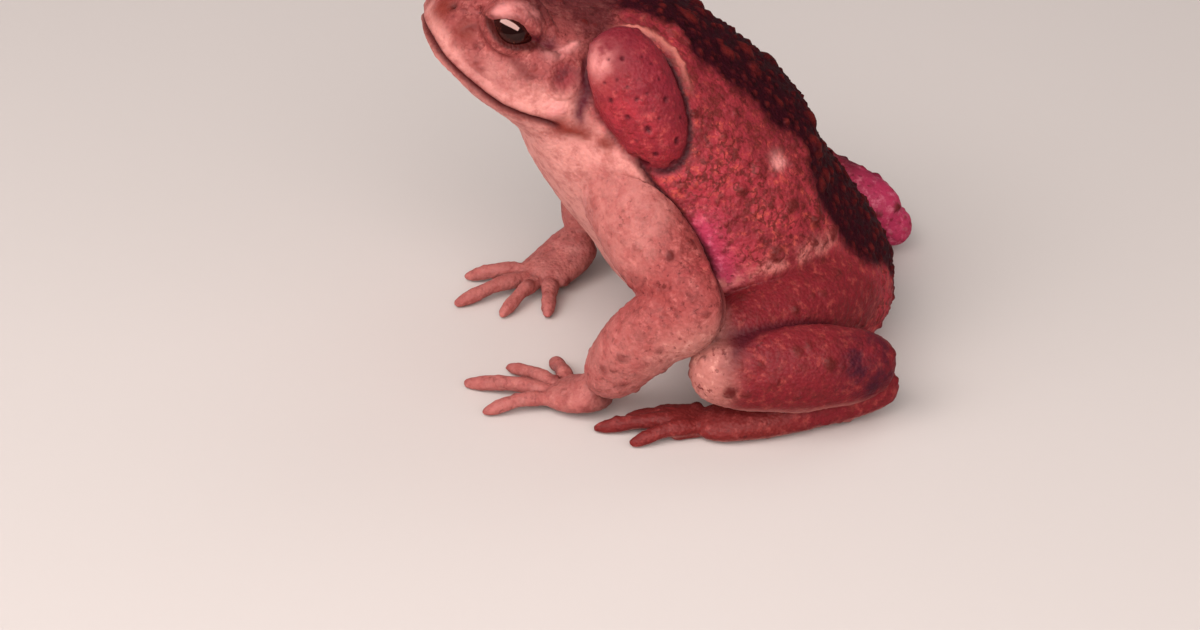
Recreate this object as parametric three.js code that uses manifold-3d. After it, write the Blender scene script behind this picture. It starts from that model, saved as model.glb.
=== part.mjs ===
// A cane toad at life size, sitting upright with its head raised and its hands turned in.
// Millimetres. The toad faces -Y, its left side is +X and the floor is the plane z = 0.
import * as THREE from "three";
import { mergeVertices } from "three/addons/utils/BufferGeometryUtils.js";
import Module from "manifold-3d";

const wasm = await Module();
wasm.setup();

// Driving dimensions
const HEAD_PITCH = THREE.MathUtils.degToRad(29); // the snout points up by this angle
const JAW_ANGLE = { y: -23.7, z: 64 }; // the corner of the mouth, seen from the side: the head's own origin
const HEAD_LENGTH = 31.7; // from the corner of the mouth to the tip of the snout
const GAPE_WIDTH = 47; // across the corners of the mouth
const TRUNK_WIDTH = 73; // across the flanks
const EYE = { radius: 5.5, side: 13, forward: 18.5, height: 11.7 };
const EYE_FACES = { x: 0.95, y: -0.12, z: 0.28 };
const LID = { thickness: 1.4, rim: 0.85, long: 5.1, tall: 4.4, depth: 4 };
const EARDRUM = { forward: 6.3, height: 9.2, long: 2.9, tall: 3.8, dome: 1.1 };
const NOSTRIL = { forward: 29.4, height: 8.4, mound: 1.7, pit: 0.7 };
const LIP = { thickness: 1, overhang: 0.9 }; // the lower jaw is shut inside the upper lip
const CREST = { radius: 1.25, sunk: 0.35 };
const WART_HEIGHT = 0.42; // over its radius
const WART_SPACING = 1.25; // between middles, over the sum of the two radii
const WART_SEED = 20;
const GAP = 0.3; // what touching pieces keep between them
const FLOOR = 0;

// Resolution
const BODY_RINGS_PER_STATION = 2;
const BODY_SIDES = 32;
const LIMB_SIDES = 12;
const DIGIT_SIDES = 6;
const WART_SIDES = 5;

// Skin colours
const SKIN = new THREE.MeshStandardMaterial({ color: 0xa9564f, roughness: 0.6, metalness: 0 });
const PALE = new THREE.MeshStandardMaterial({ color: 0xd98d84, roughness: 0.6, metalness: 0 });
const GLAND = new THREE.MeshStandardMaterial({ color: 0x9c4346, roughness: 0.55, metalness: 0 });
const DRUM = new THREE.MeshStandardMaterial({ color: 0x7f3033, roughness: 0.55, metalness: 0 });
const EYEBALL = new THREE.MeshStandardMaterial({ color: 0x16100d, roughness: 0.08, metalness: 0 });

const UP = new THREE.Vector3(0, 0, 1);

// Curves and surfaces

// The value at t, from 0 to 1, of a smooth curve through evenly spaced values.
function through(values, t) {
  const last = values.length - 1;
  const place = THREE.MathUtils.clamp(t, 0, 1) * last;
  const i = Math.min(Math.floor(place), last - 1);
  const u = place - i;
  const before = i > 0 ? values[i - 1] : 2 * values[0] - values[1];
  const after = i + 2 <= last ? values[i + 2] : 2 * values[last] - values[last - 1];
  const [from, to] = [values[i], values[i + 1]];
  const bend = 2 * before - 5 * from + 4 * to - after;
  const twist = 3 * (from - to) + after - before;
  return from + 0.5 * u * (to - before + u * (bend + u * twist));
}

// A closed surface of rings between two poles. place(t, angle) gives the point at t along it and angle
// round it.
function loft(place, rings, sides) {
  const positions = [];
  const index = [];
  for (let r = 1; r < rings; r++) {
    for (let s = 0; s < sides; s++) {
      positions.push(...place(r / rings, (2 * Math.PI * s) / sides).toArray());
    }
  }
  const first = positions.length / 3;
  positions.push(...place(0, 0).toArray(), ...place(1, 0).toArray());
  for (let s = 0; s < sides; s++) {
    const next = (s + 1) % sides;
    index.push(first, next, s);
    for (let r = 0; r < rings - 2; r++) {
      const [a, b] = [r * sides + s, r * sides + next];
      const [c, d] = [a + sides, b + sides];
      index.push(a, b, d, a, d, c);
    }
    const base = (rings - 2) * sides;
    index.push(first + 1, base + s, base + next);
  }
  const made = new THREE.BufferGeometry();
  made.setAttribute("position", new THREE.Float32BufferAttribute(positions, 3));
  made.setIndex(index);
  return made;
}

// A closed mesh as a solid. One that is inside out has its faces turned round.
function solid(geometry) {
  const bare = geometry.clone();
  bare.deleteAttribute("normal");
  bare.deleteAttribute("uv");
  const merged = mergeVertices(bare, 1e-4);
  const triVerts = new Uint32Array(merged.index.array);
  const build = () =>
    new wasm.Manifold(
      new wasm.Mesh({ numProp: 3, vertProperties: merged.attributes.position.array, triVerts }),
    );
  const made = build();
  if (made.volume() > 0) return made;
  for (let i = 0; i < triVerts.length; i += 3) {
    [triVerts[i + 1], triVerts[i + 2]] = [triVerts[i + 2], triVerts[i + 1]];
  }
  return build();
}

// The largest closed piece of a solid.
function largest(made) {
  return made.decompose().sort((a, b) => b.volume() - a.volume())[0];
}

function geometryOf(made) {
  const mesh = made.getMesh();
  const geometry = new THREE.BufferGeometry();
  geometry.setAttribute("position", new THREE.BufferAttribute(mesh.vertProperties, 3));
  geometry.setIndex(new THREE.BufferAttribute(mesh.triVerts, 1));
  geometry.computeVertexNormals();
  return geometry;
}

// A copy of a solid with its surface moved out by a distance.
function grown(made, distance) {
  const geometry = geometryOf(made);
  const { position, normal } = geometry.attributes;
  for (let i = 0; i < position.count; i++) {
    position.setXYZ(
      i,
      position.getX(i) + distance * normal.getX(i),
      position.getY(i) + distance * normal.getY(i),
      position.getZ(i) + distance * normal.getZ(i),
    );
  }
  return solid(geometry);
}

// The surface of a fleshy tube along points, elliptical in section, with rounded ends.
// wide and deep are its half sizes along it, deep being measured towards the direction up.
function tubeSurface({ points, wide, deep = wide, up = UP }) {
  const axis = (t) =>
    new THREE.Vector3(...[0, 1, 2].map((k) => through(points.map((p) => p[k]), t)));
  return (t, angle) => {
    const along = (1 - Math.cos(Math.PI * t)) / 2;
    const round = Math.pow(Math.max(0, 1 - Math.pow(Math.abs(2 * along - 1), 6)), 1 / 2.6);
    const tangent = axis(Math.min(along + 0.02, 1)).sub(axis(Math.max(along - 0.02, 0))).normalize();
    const side = new THREE.Vector3().crossVectors(up, tangent).normalize();
    const rise = new THREE.Vector3().crossVectors(tangent, side);
    return axis(along)
      .addScaledVector(side, round * through(wide, along) * Math.sin(angle))
      .addScaledVector(rise, round * through(deep, along) * Math.cos(angle));
  };
}

function flesh({ rings = 12, sides = LIMB_SIDES, ...tube }) {
  return solid(loft(tubeSurface(tube), rings, sides));
}

// A ball squashed to three half sizes, the third of them along the direction out.
function ball(centre, [a, b, c], out, up = UP, sides = 12, rings = 8) {
  const right = new THREE.Vector3().crossVectors(up, out).normalize();
  const above = new THREE.Vector3().crossVectors(out, right);
  const turn = new THREE.Matrix4().makeBasis(right, above, out).setPosition(centre);
  const made = new THREE.SphereGeometry(1, sides, rings);
  made.scale(a, b, c);
  made.applyMatrix4(turn);
  return solid(made);
}

// A ring of the half sizes long and tall that lies flat against the direction out.
function ring(centre, long, tall, thickness, out, up = UP) {
  const right = new THREE.Vector3().crossVectors(up, out).normalize();
  const above = new THREE.Vector3().crossVectors(out, right);
  const turn = new THREE.Matrix4().makeBasis(right, above, out).setPosition(centre);
  const made = new THREE.TorusGeometry(1, (2 * thickness) / (long + tall), 4, 12);
  made.scale(long, tall, (long + tall) / 2);
  made.applyMatrix4(turn);
  return solid(made);
}

// Warts

// Numbers from 0 to 1 that come in the same order each time.
let drawn = WART_SEED;
function random() {
  drawn = (drawn * 16807) % 2147483647;
  return drawn / 2147483647;
}

// A low dome that stands on a surface and reaches a little way into it.
function wart({ point, out, radius }) {
  const up = Math.abs(out.z) < 0.9 ? UP : new THREE.Vector3(0, 1, 0);
  const height = WART_HEIGHT * radius;
  const sunk = point.clone().addScaledVector(out, -0.15 * height);
  return ball(sunk, [radius, radius, 1.15 * height], out, up, WART_SIDES, 3);
}

// Warts over a part of a surface: its stretch along and its angles round, how many, and how large they are.
// Each is drawn at random, and dropped where it would crowd one that is there already.
function wartsOn(surface, { along, round, count, size }) {
  const kept = [];
  for (let i = 0; i < count; i++) {
    const t = THREE.MathUtils.lerp(...along, random());
    const angle = THREE.MathUtils.degToRad(THREE.MathUtils.lerp(...round, random()));
    const radius = THREE.MathUtils.lerp(...size, random() ** 1.6);
    const point = surface(t, angle);
    const crowded = kept.some((w) => w.point.distanceTo(point) < WART_SPACING * (w.radius + radius));
    if (crowded) continue;
    const ahead = surface(t + 0.004, angle).sub(point);
    const beside = surface(t, angle + 0.02).sub(point);
    const out = new THREE.Vector3().crossVectors(ahead, beside).normalize();
    kept.push({ point, out, radius });
  }
  return kept;
}

const addWarts = (made, warts) => warts.reduce((whole, w) => whole.add(wart(w)), made);

// Body: one shape from snout to rump

// A point of the side view given in the head's own frame: forward of the mouth's corner and above the mouth.
function headPoint(forward, height) {
  const [c, s] = [Math.cos(HEAD_PITCH), Math.sin(HEAD_PITCH)];
  return [JAW_ANGLE.y - forward * c + height * s, JAW_ANGLE.z + forward * s + height * c];
}

const headUp = new THREE.Vector3(0, Math.sin(HEAD_PITCH), Math.cos(HEAD_PITCH));
const headForward = new THREE.Vector3(0, -Math.cos(HEAD_PITCH), Math.sin(HEAD_PITCH));

// A place in the head's own frame, side being +1 for the left and -1 for the right.
function inHead(side, { side: out, forward, height }) {
  const [y, z] = headPoint(forward, height);
  return new THREE.Vector3(side * out, y, z);
}

const G = GAPE_WIDTH / 2;
const T = TRUNK_WIDTH / 2;
const L = HEAD_LENGTH;

// Stations from snout to rump: the top and the bottom of the side view, half the width,
// how far above the middle the widest level lies, and how square the top and the bottom are.
const NECK_STATION = 9;
const STATIONS = [
  [headPoint(L, 3.6), headPoint(L, 3.6), 0, -0.2, 2.2, 2],
  [headPoint(L - 0.6, 7), headPoint(L - 0.6, 0), 0.23 * G, -0.25, 2.3, 2],
  [headPoint(L - 2.2, 9.6), headPoint(L - 2, -1.7), 0.41 * G, -0.3, 2.4, 2],
  [headPoint(27.4, 11.4), headPoint(27.4, -3), 0.57 * G, -0.38, 2.5, 2],
  [headPoint(23.8, 13.2), headPoint(23.8, -4.2), 0.7 * G, -0.45, 2.6, 2.1],
  [headPoint(19.8, 14.8), headPoint(19.4, -5.2), 0.81 * G, -0.5, 2.7, 2.2],
  [headPoint(15.5, 16.6), headPoint(15, -6), 0.89 * G, -0.45, 2.7, 2.2],
  [headPoint(10.5, 18.6), headPoint(9.3, -7.6), 0.95 * G, -0.35, 2.6, 2.2],
  [headPoint(5.5, 20.4), headPoint(4, -10.4), 0.99 * G, -0.2, 2.4, 2.2],
  [headPoint(1, 22), headPoint(-0.9, -14.8), 1.04 * G, -0.1, 2.3, 2.2],
  [[-2, 82.4], [-24.4, 40], 0.8 * T, -0.05, 2.3, 2.2],
  [[9.4, 75], [-17.6, 30], 0.9 * T, -0.1, 2.3, 2.1],
  [[20.4, 65.4], [-11.5, 20], 0.97 * T, -0.15, 2.3, 2.1],
  [[30, 55.4], [-1, 11], T, -0.2, 2.3, 2.1],
  [[35, 44], [11, 5], 0.96 * T, -0.2, 2.2, 2.1],
  [[42.8, 32.2], [24, 1.2], 0.84 * T, -0.15, 2.1, 2.2],
  [[49.4, 21], [37, -0.4], 0.62 * T, -0.1, 2, 2.2],
  [[51.4, 11.4], [46, 1.6], 0.3 * T, 0, 2, 2],
  [[51, 6], [51, 6], 0, 0, 2, 2],
].map(([top, bottom, half, level, crown, belly]) => ({ top, bottom, half, level, crown, belly }));
const COLUMNS = {
  topY: STATIONS.map((s) => s.top[0]),
  topZ: STATIONS.map((s) => s.top[1]),
  bottomY: STATIONS.map((s) => s.bottom[0]),
  bottomZ: STATIONS.map((s) => s.bottom[1]),
  half: STATIONS.map((s) => s.half),
  level: STATIONS.map((s) => s.level),
  crown: STATIONS.map((s) => s.crown),
  belly: STATIONS.map((s) => s.belly),
};

// The body's surface at t along it and angle round it, from 0 on the back: a superellipse that spans
// from the top line to the bottom line, with its widest level raised or lowered.
function bodyPoint(t, angle) {
  const at = Object.fromEntries(Object.entries(COLUMNS).map(([name, values]) => [name, through(values, t)]));
  const [c, s] = [Math.cos(angle), Math.sin(angle)];
  const power = 2 / (c > 0 ? at.crown : at.belly);
  const rise = Math.sign(c) * Math.pow(Math.abs(c), power);
  const out = Math.sign(s) * Math.pow(Math.abs(s), power);
  const share = (1 + rise + at.level * (1 - rise * rise)) / 2;
  return new THREE.Vector3(
    Math.max(at.half, 0) * out,
    THREE.MathUtils.lerp(at.bottomY, at.topY, share),
    THREE.MathUtils.lerp(at.bottomZ, at.topZ, share),
  );
}

// The same surface drawn in by the lip's overhang, fading out towards the neck.
function jawPoint(t, angle) {
  const point = bodyPoint(t, angle);
  const fade = THREE.MathUtils.clamp(1.15 - (t * (STATIONS.length - 1)) / NECK_STATION, 0, 1);
  const inward = new THREE.Vector3(-Math.sign(point.x) * Math.min(1, Math.abs(point.x) / 8), 0, 0);
  inward.addScaledVector(headForward, -Math.max(0, 1 - Math.abs(point.x) / (0.6 * G)));
  return point.addScaledVector(inward, LIP.overhang * fade);
}

// A large box on one side of a plane through a point, kept clear of the plane by a distance.
function halfSpace(point, normal, clear) {
  const size = 400;
  const box = new THREE.BoxGeometry(size, size, size);
  box.translate(0, 0, size / 2 + clear);
  box.applyQuaternion(new THREE.Quaternion().setFromUnitVectors(UP, normal));
  box.translate(point.x, point.y, point.z);
  return solid(box);
}

const aboveFloor = halfSpace(new THREE.Vector3(0, 0, FLOOR), UP, 0);

// Zones of warts on the body, along it in stations: the crown, the nape, the back, the rump and the two
// flanks.
const BODY_WARTS = [
  { along: [5.4, 8.4], round: [-17, 17], count: 5, size: [0.9, 1.3] },
  { along: [9.5, 11.9], round: [-26, 26], count: 12, size: [1.5, 2.5] },
  { along: [12, 15.2], round: [-48, 48], count: 22, size: [1.6, 2.8] },
  { along: [15.2, 16.6], round: [-26, 26], count: 5, size: [1.4, 2.2] },
  { along: [12, 13.4], round: [50, 72], count: 7, size: [1.2, 1.8] },
  { along: [12, 13.4], round: [-72, -50], count: 7, size: [1.2, 1.8] },
];
const inStations = (zone) => ({ ...zone, along: zone.along.map((place) => place / (STATIONS.length - 1)) });

const bodyRings = (STATIONS.length - 1) * BODY_RINGS_PER_STATION;
const smoothBody = solid(loft(bodyPoint, bodyRings, BODY_SIDES));
const body = addWarts(smoothBody, BODY_WARTS.flatMap((zone) => wartsOn(bodyPoint, inStations(zone))));
const bodyClear = grown(body, GAP);
const jawBody = solid(loft(jawPoint, bodyRings, BODY_SIDES));

// Neck: the plane through the nape and the throat parts the head and jaw from the trunk.
const neck = STATIONS[NECK_STATION];
const nape = new THREE.Vector3(0, ...neck.top);
const throat = new THREE.Vector3(0, ...neck.bottom);
const neckLine = nape.clone().sub(throat).normalize();
const backwards = new THREE.Vector3(0, neckLine.z, -neckLine.y);
const behindNeck = halfSpace(nape, backwards, GAP / 2);
const beforeNeck = halfSpace(nape, backwards.clone().negate(), GAP / 2);

// Mouth: the line of the lips from the front of the snout to behind its corner, as forward and height in
// the head.
const MOUTH_LINE = [
  [60, 0.8], [L, 0.8], [29, -0.1], [25.6, -0.9], [20, -1.6], [15, -2.2],
  [10, -1.7], [5, -0.7], [1, -0.6], [-3, -2.6], [-8, -7], [-40, -36],
];

function mouthHeight(forward) {
  const i = MOUTH_LINE.findIndex(([f]) => f <= forward);
  const [[f0, h0], [f1, h1]] = [MOUTH_LINE[i - 1], MOUTH_LINE[i]];
  return THREE.MathUtils.mapLinear(forward, f0, f1, h0, h1);
}

// Everything above the mouth, or below it.
function mouthBlock(upper) {
  const far = upper ? 200 : -200;
  const shift = upper ? GAP / 2 : -GAP / 2;
  const outline = [...MOUTH_LINE.map(([f, h]) => [f, h + shift]), [-40, far], [60, far]];
  const shape = new THREE.Shape(outline.map(([f, h]) => new THREE.Vector2(...headPoint(f, h))));
  const block = new THREE.ExtrudeGeometry(shape, { depth: 200, bevelEnabled: false });
  block.translate(0, 0, -100);
  // The outline is drawn in y and z, and runs across in x.
  block.applyMatrix4(new THREE.Matrix4().set(0, 0, 1, 0, 1, 0, 0, 0, 0, 1, 0, 0, 0, 0, 0, 1));
  return solid(block);
}

// Where a line from a point along a direction meets the outside of a solid, and how that surface faces.
const measured = new Map();
function touch(made, from, direction) {
  if (!measured.has(made)) measured.set(made, new THREE.Mesh(geometryOf(made), SKIN));
  const ray = new THREE.Raycaster(from, direction.clone().normalize());
  const hit = ray.intersectObject(measured.get(made))[0];
  return { point: hit.point, out: hit.face.normal.clone() };
}

// The skin at the side of the head, at a place in the head's own frame.
function cheek(side, forward, height) {
  const [y, z] = headPoint(forward, height);
  return touch(body, new THREE.Vector3(side * 100, y, z), new THREE.Vector3(-side, 0, 0));
}

// A lip: a rounded edge that follows the mouth round the snout, above it or below it.
function lipShape(upper) {
  const reach = [2.5, 8, 14, 19.5, 24.6, 28.4];
  const height = (upper ? 1 : -1) * (LIP.thickness * 0.75 + GAP / 2);
  const half = [1, -1].map((side) =>
    reach.map((forward) => {
      const { point } = cheek(side, forward, mouthHeight(forward) + height);
      point.x -= side * (upper ? 0.25 : LIP.overhang);
      return point.toArray();
    }),
  );
  const front = headPoint(L - (upper ? 0.7 : 0.5 + LIP.overhang), mouthHeight(L) + height);
  const points = [...half[0], [0, ...front], ...half[1].reverse()];
  const wide = points.map((_, i) => LIP.thickness * (i % (points.length - 1) ? 0.95 : 0.5));
  return flesh({ points, wide, deep: wide, up: headUp, rings: 19, sides: 5 });
}

// Parotoid glands: long swollen pads on the sides of the neck.
const GLAND_PAD = { centre: [25.2, -9.9, 71], along: [9, 12, -28], long: 15.4, across: 8.4, out: 7.4 };
function glandShape(side) {
  const onSide = ([x, y, z]) => new THREE.Vector3(side * x, y, z);
  const middle = onSide(GLAND_PAD.centre);
  const long = onSide(GLAND_PAD.along).normalize();
  const across = new THREE.Vector3().crossVectors(long, new THREE.Vector3(side, 0.1, 0.25)).normalize();
  const out = new THREE.Vector3().crossVectors(across, long).normalize();
  const place = (t, angle) => {
    const polar = Math.PI * t;
    const swell = 1 + 0.1 * Math.cos(polar);
    const round = Math.pow(Math.sin(polar), 0.85);
    return middle
      .clone()
      .addScaledVector(long, -GLAND_PAD.long * Math.cos(polar))
      .addScaledVector(across, GLAND_PAD.across * swell * round * Math.cos(angle))
      .addScaledVector(out, GLAND_PAD.out * round * Math.sin(angle));
  };
  return loft(place, 11, 14);
}

// Limbs: each list of points runs from the body outwards, with the right side mirrored.
const POSES = {
  left: {
    upperArm: [[17, -15, 53], [31, -10.4, 43], [43, -1.8, 29.6]],
    forearm: [[43.8, -3.4, 31.4], [41, -12.6, 21.6], [33.5, -19.5, 8]],
    palm: [[33.5, -18, 7], [30, -23, 4], [25, -27.5, 2.6]],
    thigh: [[12, 41, 17], [30, 24, 20.5], [46, 0.6, 20.5]],
    shank: [[47.5, -2.5, 17.5], [47.5, 19, 16], [43.5, 41.5, 12.5]],
    sole: [[42.5, 43, 8], [44, 28, 5.2], [45.5, 13, 3.8], [45, -1, 2.6]],
    handTurn: 0,
    footTurn: 0,
  },
  right: {
    upperArm: [[17, -12, 52], [30, -5.9, 41.5], [41.5, 3.1, 28.7]],
    forearm: [[42.3, 1.2, 30.4], [40, -6, 20.1], [31, -12.6, 8.4]],
    palm: [[31.5, -11.6, 7.6], [27, -18.4, 4.2], [22.5, -24.5, 2.6]],
    thigh: [[12, 41, 17], [30, 32, 18.5], [45, 16, 20]],
    shank: [[46.5, 13, 17.5], [41, 37, 14], [24, 60, 9.5]],
    sole: [[23, 61.5, 7.4], [34, 54, 5], [43, 43, 3.6], [48, 30, 2.6]],
    handTurn: -8,
    footTurn: -22,
  },
};

const mirrored = (side, points) => points.map(([x, y, z]) => [side * x, y, z]);

const LIMB_SIZES = {
  upperArm: { wide: [8.5, 8.4, 7.2], deep: [10, 9, 7.6] },
  forearm: { wide: [6.8, 7.5, 5.7], deep: [8.6, 7.8, 5.4], up: new THREE.Vector3(0, 1, 0) },
  thigh: { wide: [10, 10.5, 7.4], deep: [12, 11, 8] },
  shank: { wide: [6.6, 8, 6], deep: [7.2, 9.5, 7.4] },
};

// Zones of warts on the limbs, with the angles of the left side.
const LIMB_WARTS = {
  upperArm: { along: [0.5, 0.85], round: [-60, 50], count: 3, size: [1, 1.5] },
  forearm: { along: [0.25, 0.8], round: [-150, -30], count: 4, size: [1, 1.5] },
  thigh: { along: [0.45, 0.78], round: [-30, 32], count: 5, size: [1.1, 1.7] },
  shank: { along: [0.25, 0.85], round: [-110, -15], count: 5, size: [1.1, 1.8] },
};

const limbTube = (side, pose, name) => ({ points: mirrored(side, pose[name]), ...LIMB_SIZES[name] });

// A digit from its root to its tip, raised in the middle by its knuckle.
function digit(root, tip, radius, knuckle) {
  const middle = root.clone().lerp(tip, 0.5).setZ(Math.max(root.z, tip.z) + knuckle);
  return flesh({
    points: [root.toArray(), middle.toArray(), tip.toArray()],
    wide: [radius * 1.05, radius * 0.9, radius * 0.75],
    deep: [radius, radius * 0.85, radius * 0.7],
    rings: 6, sides: DIGIT_SIDES,
  });
}

// A row of digits fanned from a centre and turned inwards by their angles. A web joins each two of them
// along a share of their length, where there is any.
function fan(side, centre, digits, turned, web) {
  const away = (turn) => {
    const a = THREE.MathUtils.degToRad(turn + turned);
    return new THREE.Vector3(-side * Math.sin(a), -Math.cos(a), 0);
  };
  const fingers = digits.map(({ turn, length, radius }) => {
    const root = centre.clone().addScaledVector(away(turn), 2.5);
    const tip = centre.clone().addScaledVector(away(turn), length).setZ(radius * 0.6);
    return digit(root, tip, radius, 0.7);
  });
  const webs = (web > 0 ? digits.slice(1) : []).map(({ turn, length }, i) => {
    const before = digits[i];
    const way = away((turn + before.turn) / 2);
    const spread = Math.sin(THREE.MathUtils.degToRad(Math.abs(turn - before.turn) / 2));
    const reach = web * Math.min(length, before.length);
    const shares = [0.15, 0.6, 1];
    const points = shares.map((s) => centre.clone().addScaledVector(way, reach * s).setZ(0.9).toArray());
    const wide = shares.map((s) => 0.8 + reach * s * spread);
    return flesh({ points, wide, deep: [0.8, 0.6, 0.5], rings: 5, sides: DIGIT_SIDES });
  });
  return [...fingers, ...webs].reduce((whole, piece) => whole.add(piece));
}

const HAND_DIGITS = [
  { turn: -2, length: 20, radius: 1.7 },
  { turn: 28, length: 25, radius: 1.8 },
  { turn: 55, length: 21, radius: 1.7 },
  { turn: 85, length: 18, radius: 1.8 },
];
function handShape(side, pose) {
  const points = mirrored(side, pose.palm);
  const palm = flesh({ points, wide: [5.6, 6.6, 6.4], deep: [4.8, 3.4, 2.4], rings: 8 });
  const centre = new THREE.Vector3(...points[1]).lerp(new THREE.Vector3(...points[2]), 0.25).setZ(2.4);
  return palm.add(fan(side, centre, HAND_DIGITS, pose.handTurn, 0));
}

const FOOT_DIGITS = [
  { turn: 44, length: 12, radius: 1.7 },
  { turn: 34, length: 16, radius: 1.8 },
  { turn: 23, length: 21, radius: 1.8 },
  { turn: 11, length: 27, radius: 1.9 },
  { turn: -6, length: 20, radius: 1.8 },
];
function footShape(side, pose) {
  const points = mirrored(side, pose.sole);
  const sole = flesh({ points, wide: [5.4, 5.4, 6, 6.2], deep: [5.4, 4.8, 3.8, 2.8], rings: 10 });
  const centre = new THREE.Vector3(...points[2]).lerp(new THREE.Vector3(...points[3]), 0.6).setZ(2.4);
  return sole.add(fan(side, centre, FOOT_DIGITS, pose.footTurn, 0.55));
}

// Assembly

const toad = new THREE.Group();

function add(name, made, material) {
  const mesh = new THREE.Mesh(geometryOf(largest(made)), material);
  mesh.name = name;
  toad.add(mesh);
}

let head = body.intersect(beforeNeck).intersect(mouthBlock(true));
head = head.add(lipShape(true).intersect(mouthBlock(true)).intersect(beforeNeck));
let jaw = jawBody.intersect(beforeNeck).intersect(mouthBlock(false));
jaw = jaw.add(lipShape(false).intersect(mouthBlock(false)).intersect(beforeNeck));
let torso = body.intersect(behindNeck).intersect(aboveFloor);

// The mound of flesh over an eye, with a raised rim of lid round the opening, and what is cut from it.
function lidShapes(side) {
  const centre = inHead(side, EYE);
  const out = new THREE.Vector3(side * EYE_FACES.x, EYE_FACES.y, EYE_FACES.z).normalize();
  const front = centre.clone().addScaledVector(out, LID.depth);
  const bulge = EYE.radius + LID.thickness;
  const ofRadius = (r, sides, rings) => ball(centre, [r, r, r], out, headUp, sides, rings);
  return {
    mound: ofRadius(bulge, 12, 8).add(ring(front, LID.long, LID.tall, LID.rim, out, headUp)),
    opening: ball(front, [LID.long - LID.rim, LID.tall - LID.rim, EYE.radius], out, headUp, 12, 6),
    socket: ofRadius(EYE.radius + GAP, 12, 7),
    eyeball: ofRadius(EYE.radius, 12, 8),
  };
}

// The bony crest that runs from the nostril over the eye and down towards the gland.
function crestShape(side) {
  const track = [
    [4.6, 29.2], [7.4, 26.6], [9.6, 24], [11, 21.2], [12.2, 17.6], [13.4, 14], [15.4, 10.6], [17, 7.6],
  ];
  const points = track.map(([across, forward]) => {
    const [y, z] = headPoint(forward, 60);
    const { point } = touch(head, new THREE.Vector3(side * across, y, z), headUp.clone().negate());
    return point.addScaledVector(headUp, -CREST.sunk).toArray();
  });
  const wide = track.map((_, i) => CREST.radius * (i === 0 || i === track.length - 1 ? 0.7 : 1));
  return flesh({ points, wide, up: headUp, rings: 9, sides: 4 });
}

function nostril(side) {
  const { point, out } = cheek(side, NOSTRIL.forward, NOSTRIL.height);
  const sunk = point.clone().addScaledVector(out, -NOSTRIL.mound * 0.45);
  head = head.add(ball(sunk, [1, 0.9, 0.8].map((r) => r * NOSTRIL.mound), out, headUp, 8, 5));
  const mouth = point.clone().addScaledVector(out, NOSTRIL.mound * 0.35);
  const { pit } = NOSTRIL;
  head = head.subtract(ball(mouth, [pit * 1.3, pit, pit * 1.6], out, headUp, 6, 4));
}

// The eardrum lies in a shallow pit with a raised rim.
function eardrum(side) {
  const { long, tall, dome } = EARDRUM;
  const { point, out } = cheek(side, EARDRUM.forward, EARDRUM.height);
  head = head.add(ring(point, long + 0.7, tall + 0.7, 0.7, out, headUp));
  head = head.subtract(ball(point, [long + GAP, tall + GAP, dome + GAP], out, headUp, 12, 6));
  return ball(point, [long, tall, dome], out, headUp, 10, 5);
}

for (const [side, name] of [[1, "left"], [-1, "right"]]) {
  const pose = POSES[name];
  const lids = lidShapes(side);
  head = head.add(lids.mound);
  head = head.add(crestShape(side).intersect(beforeNeck)).subtract(lids.socket).subtract(lids.opening);
  add("eye_" + name, lids.eyeball, EYEBALL);
  nostril(side);
  add("eardrum_" + name, eardrum(side), DRUM);

  const gland = solid(glandShape(side));
  const glandClear = grown(gland, GAP);
  head = head.subtract(glandClear);
  torso = torso.subtract(glandClear);
  add("parotoid_" + name, gland, GLAND);

  const limbs = {};
  const clear = {};
  for (const limb of Object.keys(LIMB_SIZES)) {
    const tube = limbTube(side, pose, limb);
    const zone = { ...LIMB_WARTS[limb], round: LIMB_WARTS[limb].round.map((angle) => side * angle) };
    limbs[limb] = addWarts(flesh(tube), wartsOn(tubeSurface(tube), zone));
    clear[limb] = grown(limbs[limb], GAP);
  }
  const upperArm = limbs.upperArm.subtract(bodyClear).subtract(glandClear);
  const forearm = limbs.forearm.subtract(clear.upperArm).subtract(bodyClear);
  const hand = handShape(side, pose).subtract(clear.forearm).intersect(aboveFloor);
  const thigh = limbs.thigh.subtract(bodyClear).intersect(aboveFloor);
  const shank = limbs.shank.subtract(clear.thigh).subtract(bodyClear).intersect(aboveFloor);
  const foot = footShape(side, pose)
    .subtract(clear.shank)
    .subtract(clear.thigh)
    .subtract(bodyClear)
    .intersect(aboveFloor);
  add("upper_arm_" + name, upperArm, SKIN);
  add("forearm_" + name, forearm, SKIN);
  add("hand_" + name, hand, SKIN);
  add("thigh_" + name, thigh, SKIN);
  add("shank_" + name, shank, SKIN);
  add("foot_" + name, foot, SKIN);
}
add("head", head, SKIN);
add("lower_jaw", jaw, PALE);
add("torso", torso, SKIN);

// The group stands with the middle of its footprint on the origin.
const extent = new THREE.Box3().setFromObject(toad);
const centre = extent.getCenter(new THREE.Vector3());
toad.position.set(-centre.x, -centre.y, 0);

export default toad;
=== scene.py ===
"""A cane toad at life size: one warty skin over all its flesh, and two wet eyes set in it.

Shapes are worked out in millimetres, in the toad's own frame: it faces -Y, its left side is +X and the
floor is z = 0. SHIFT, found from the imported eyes, and MM carry them into the shared frame in metres.
"""

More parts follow.
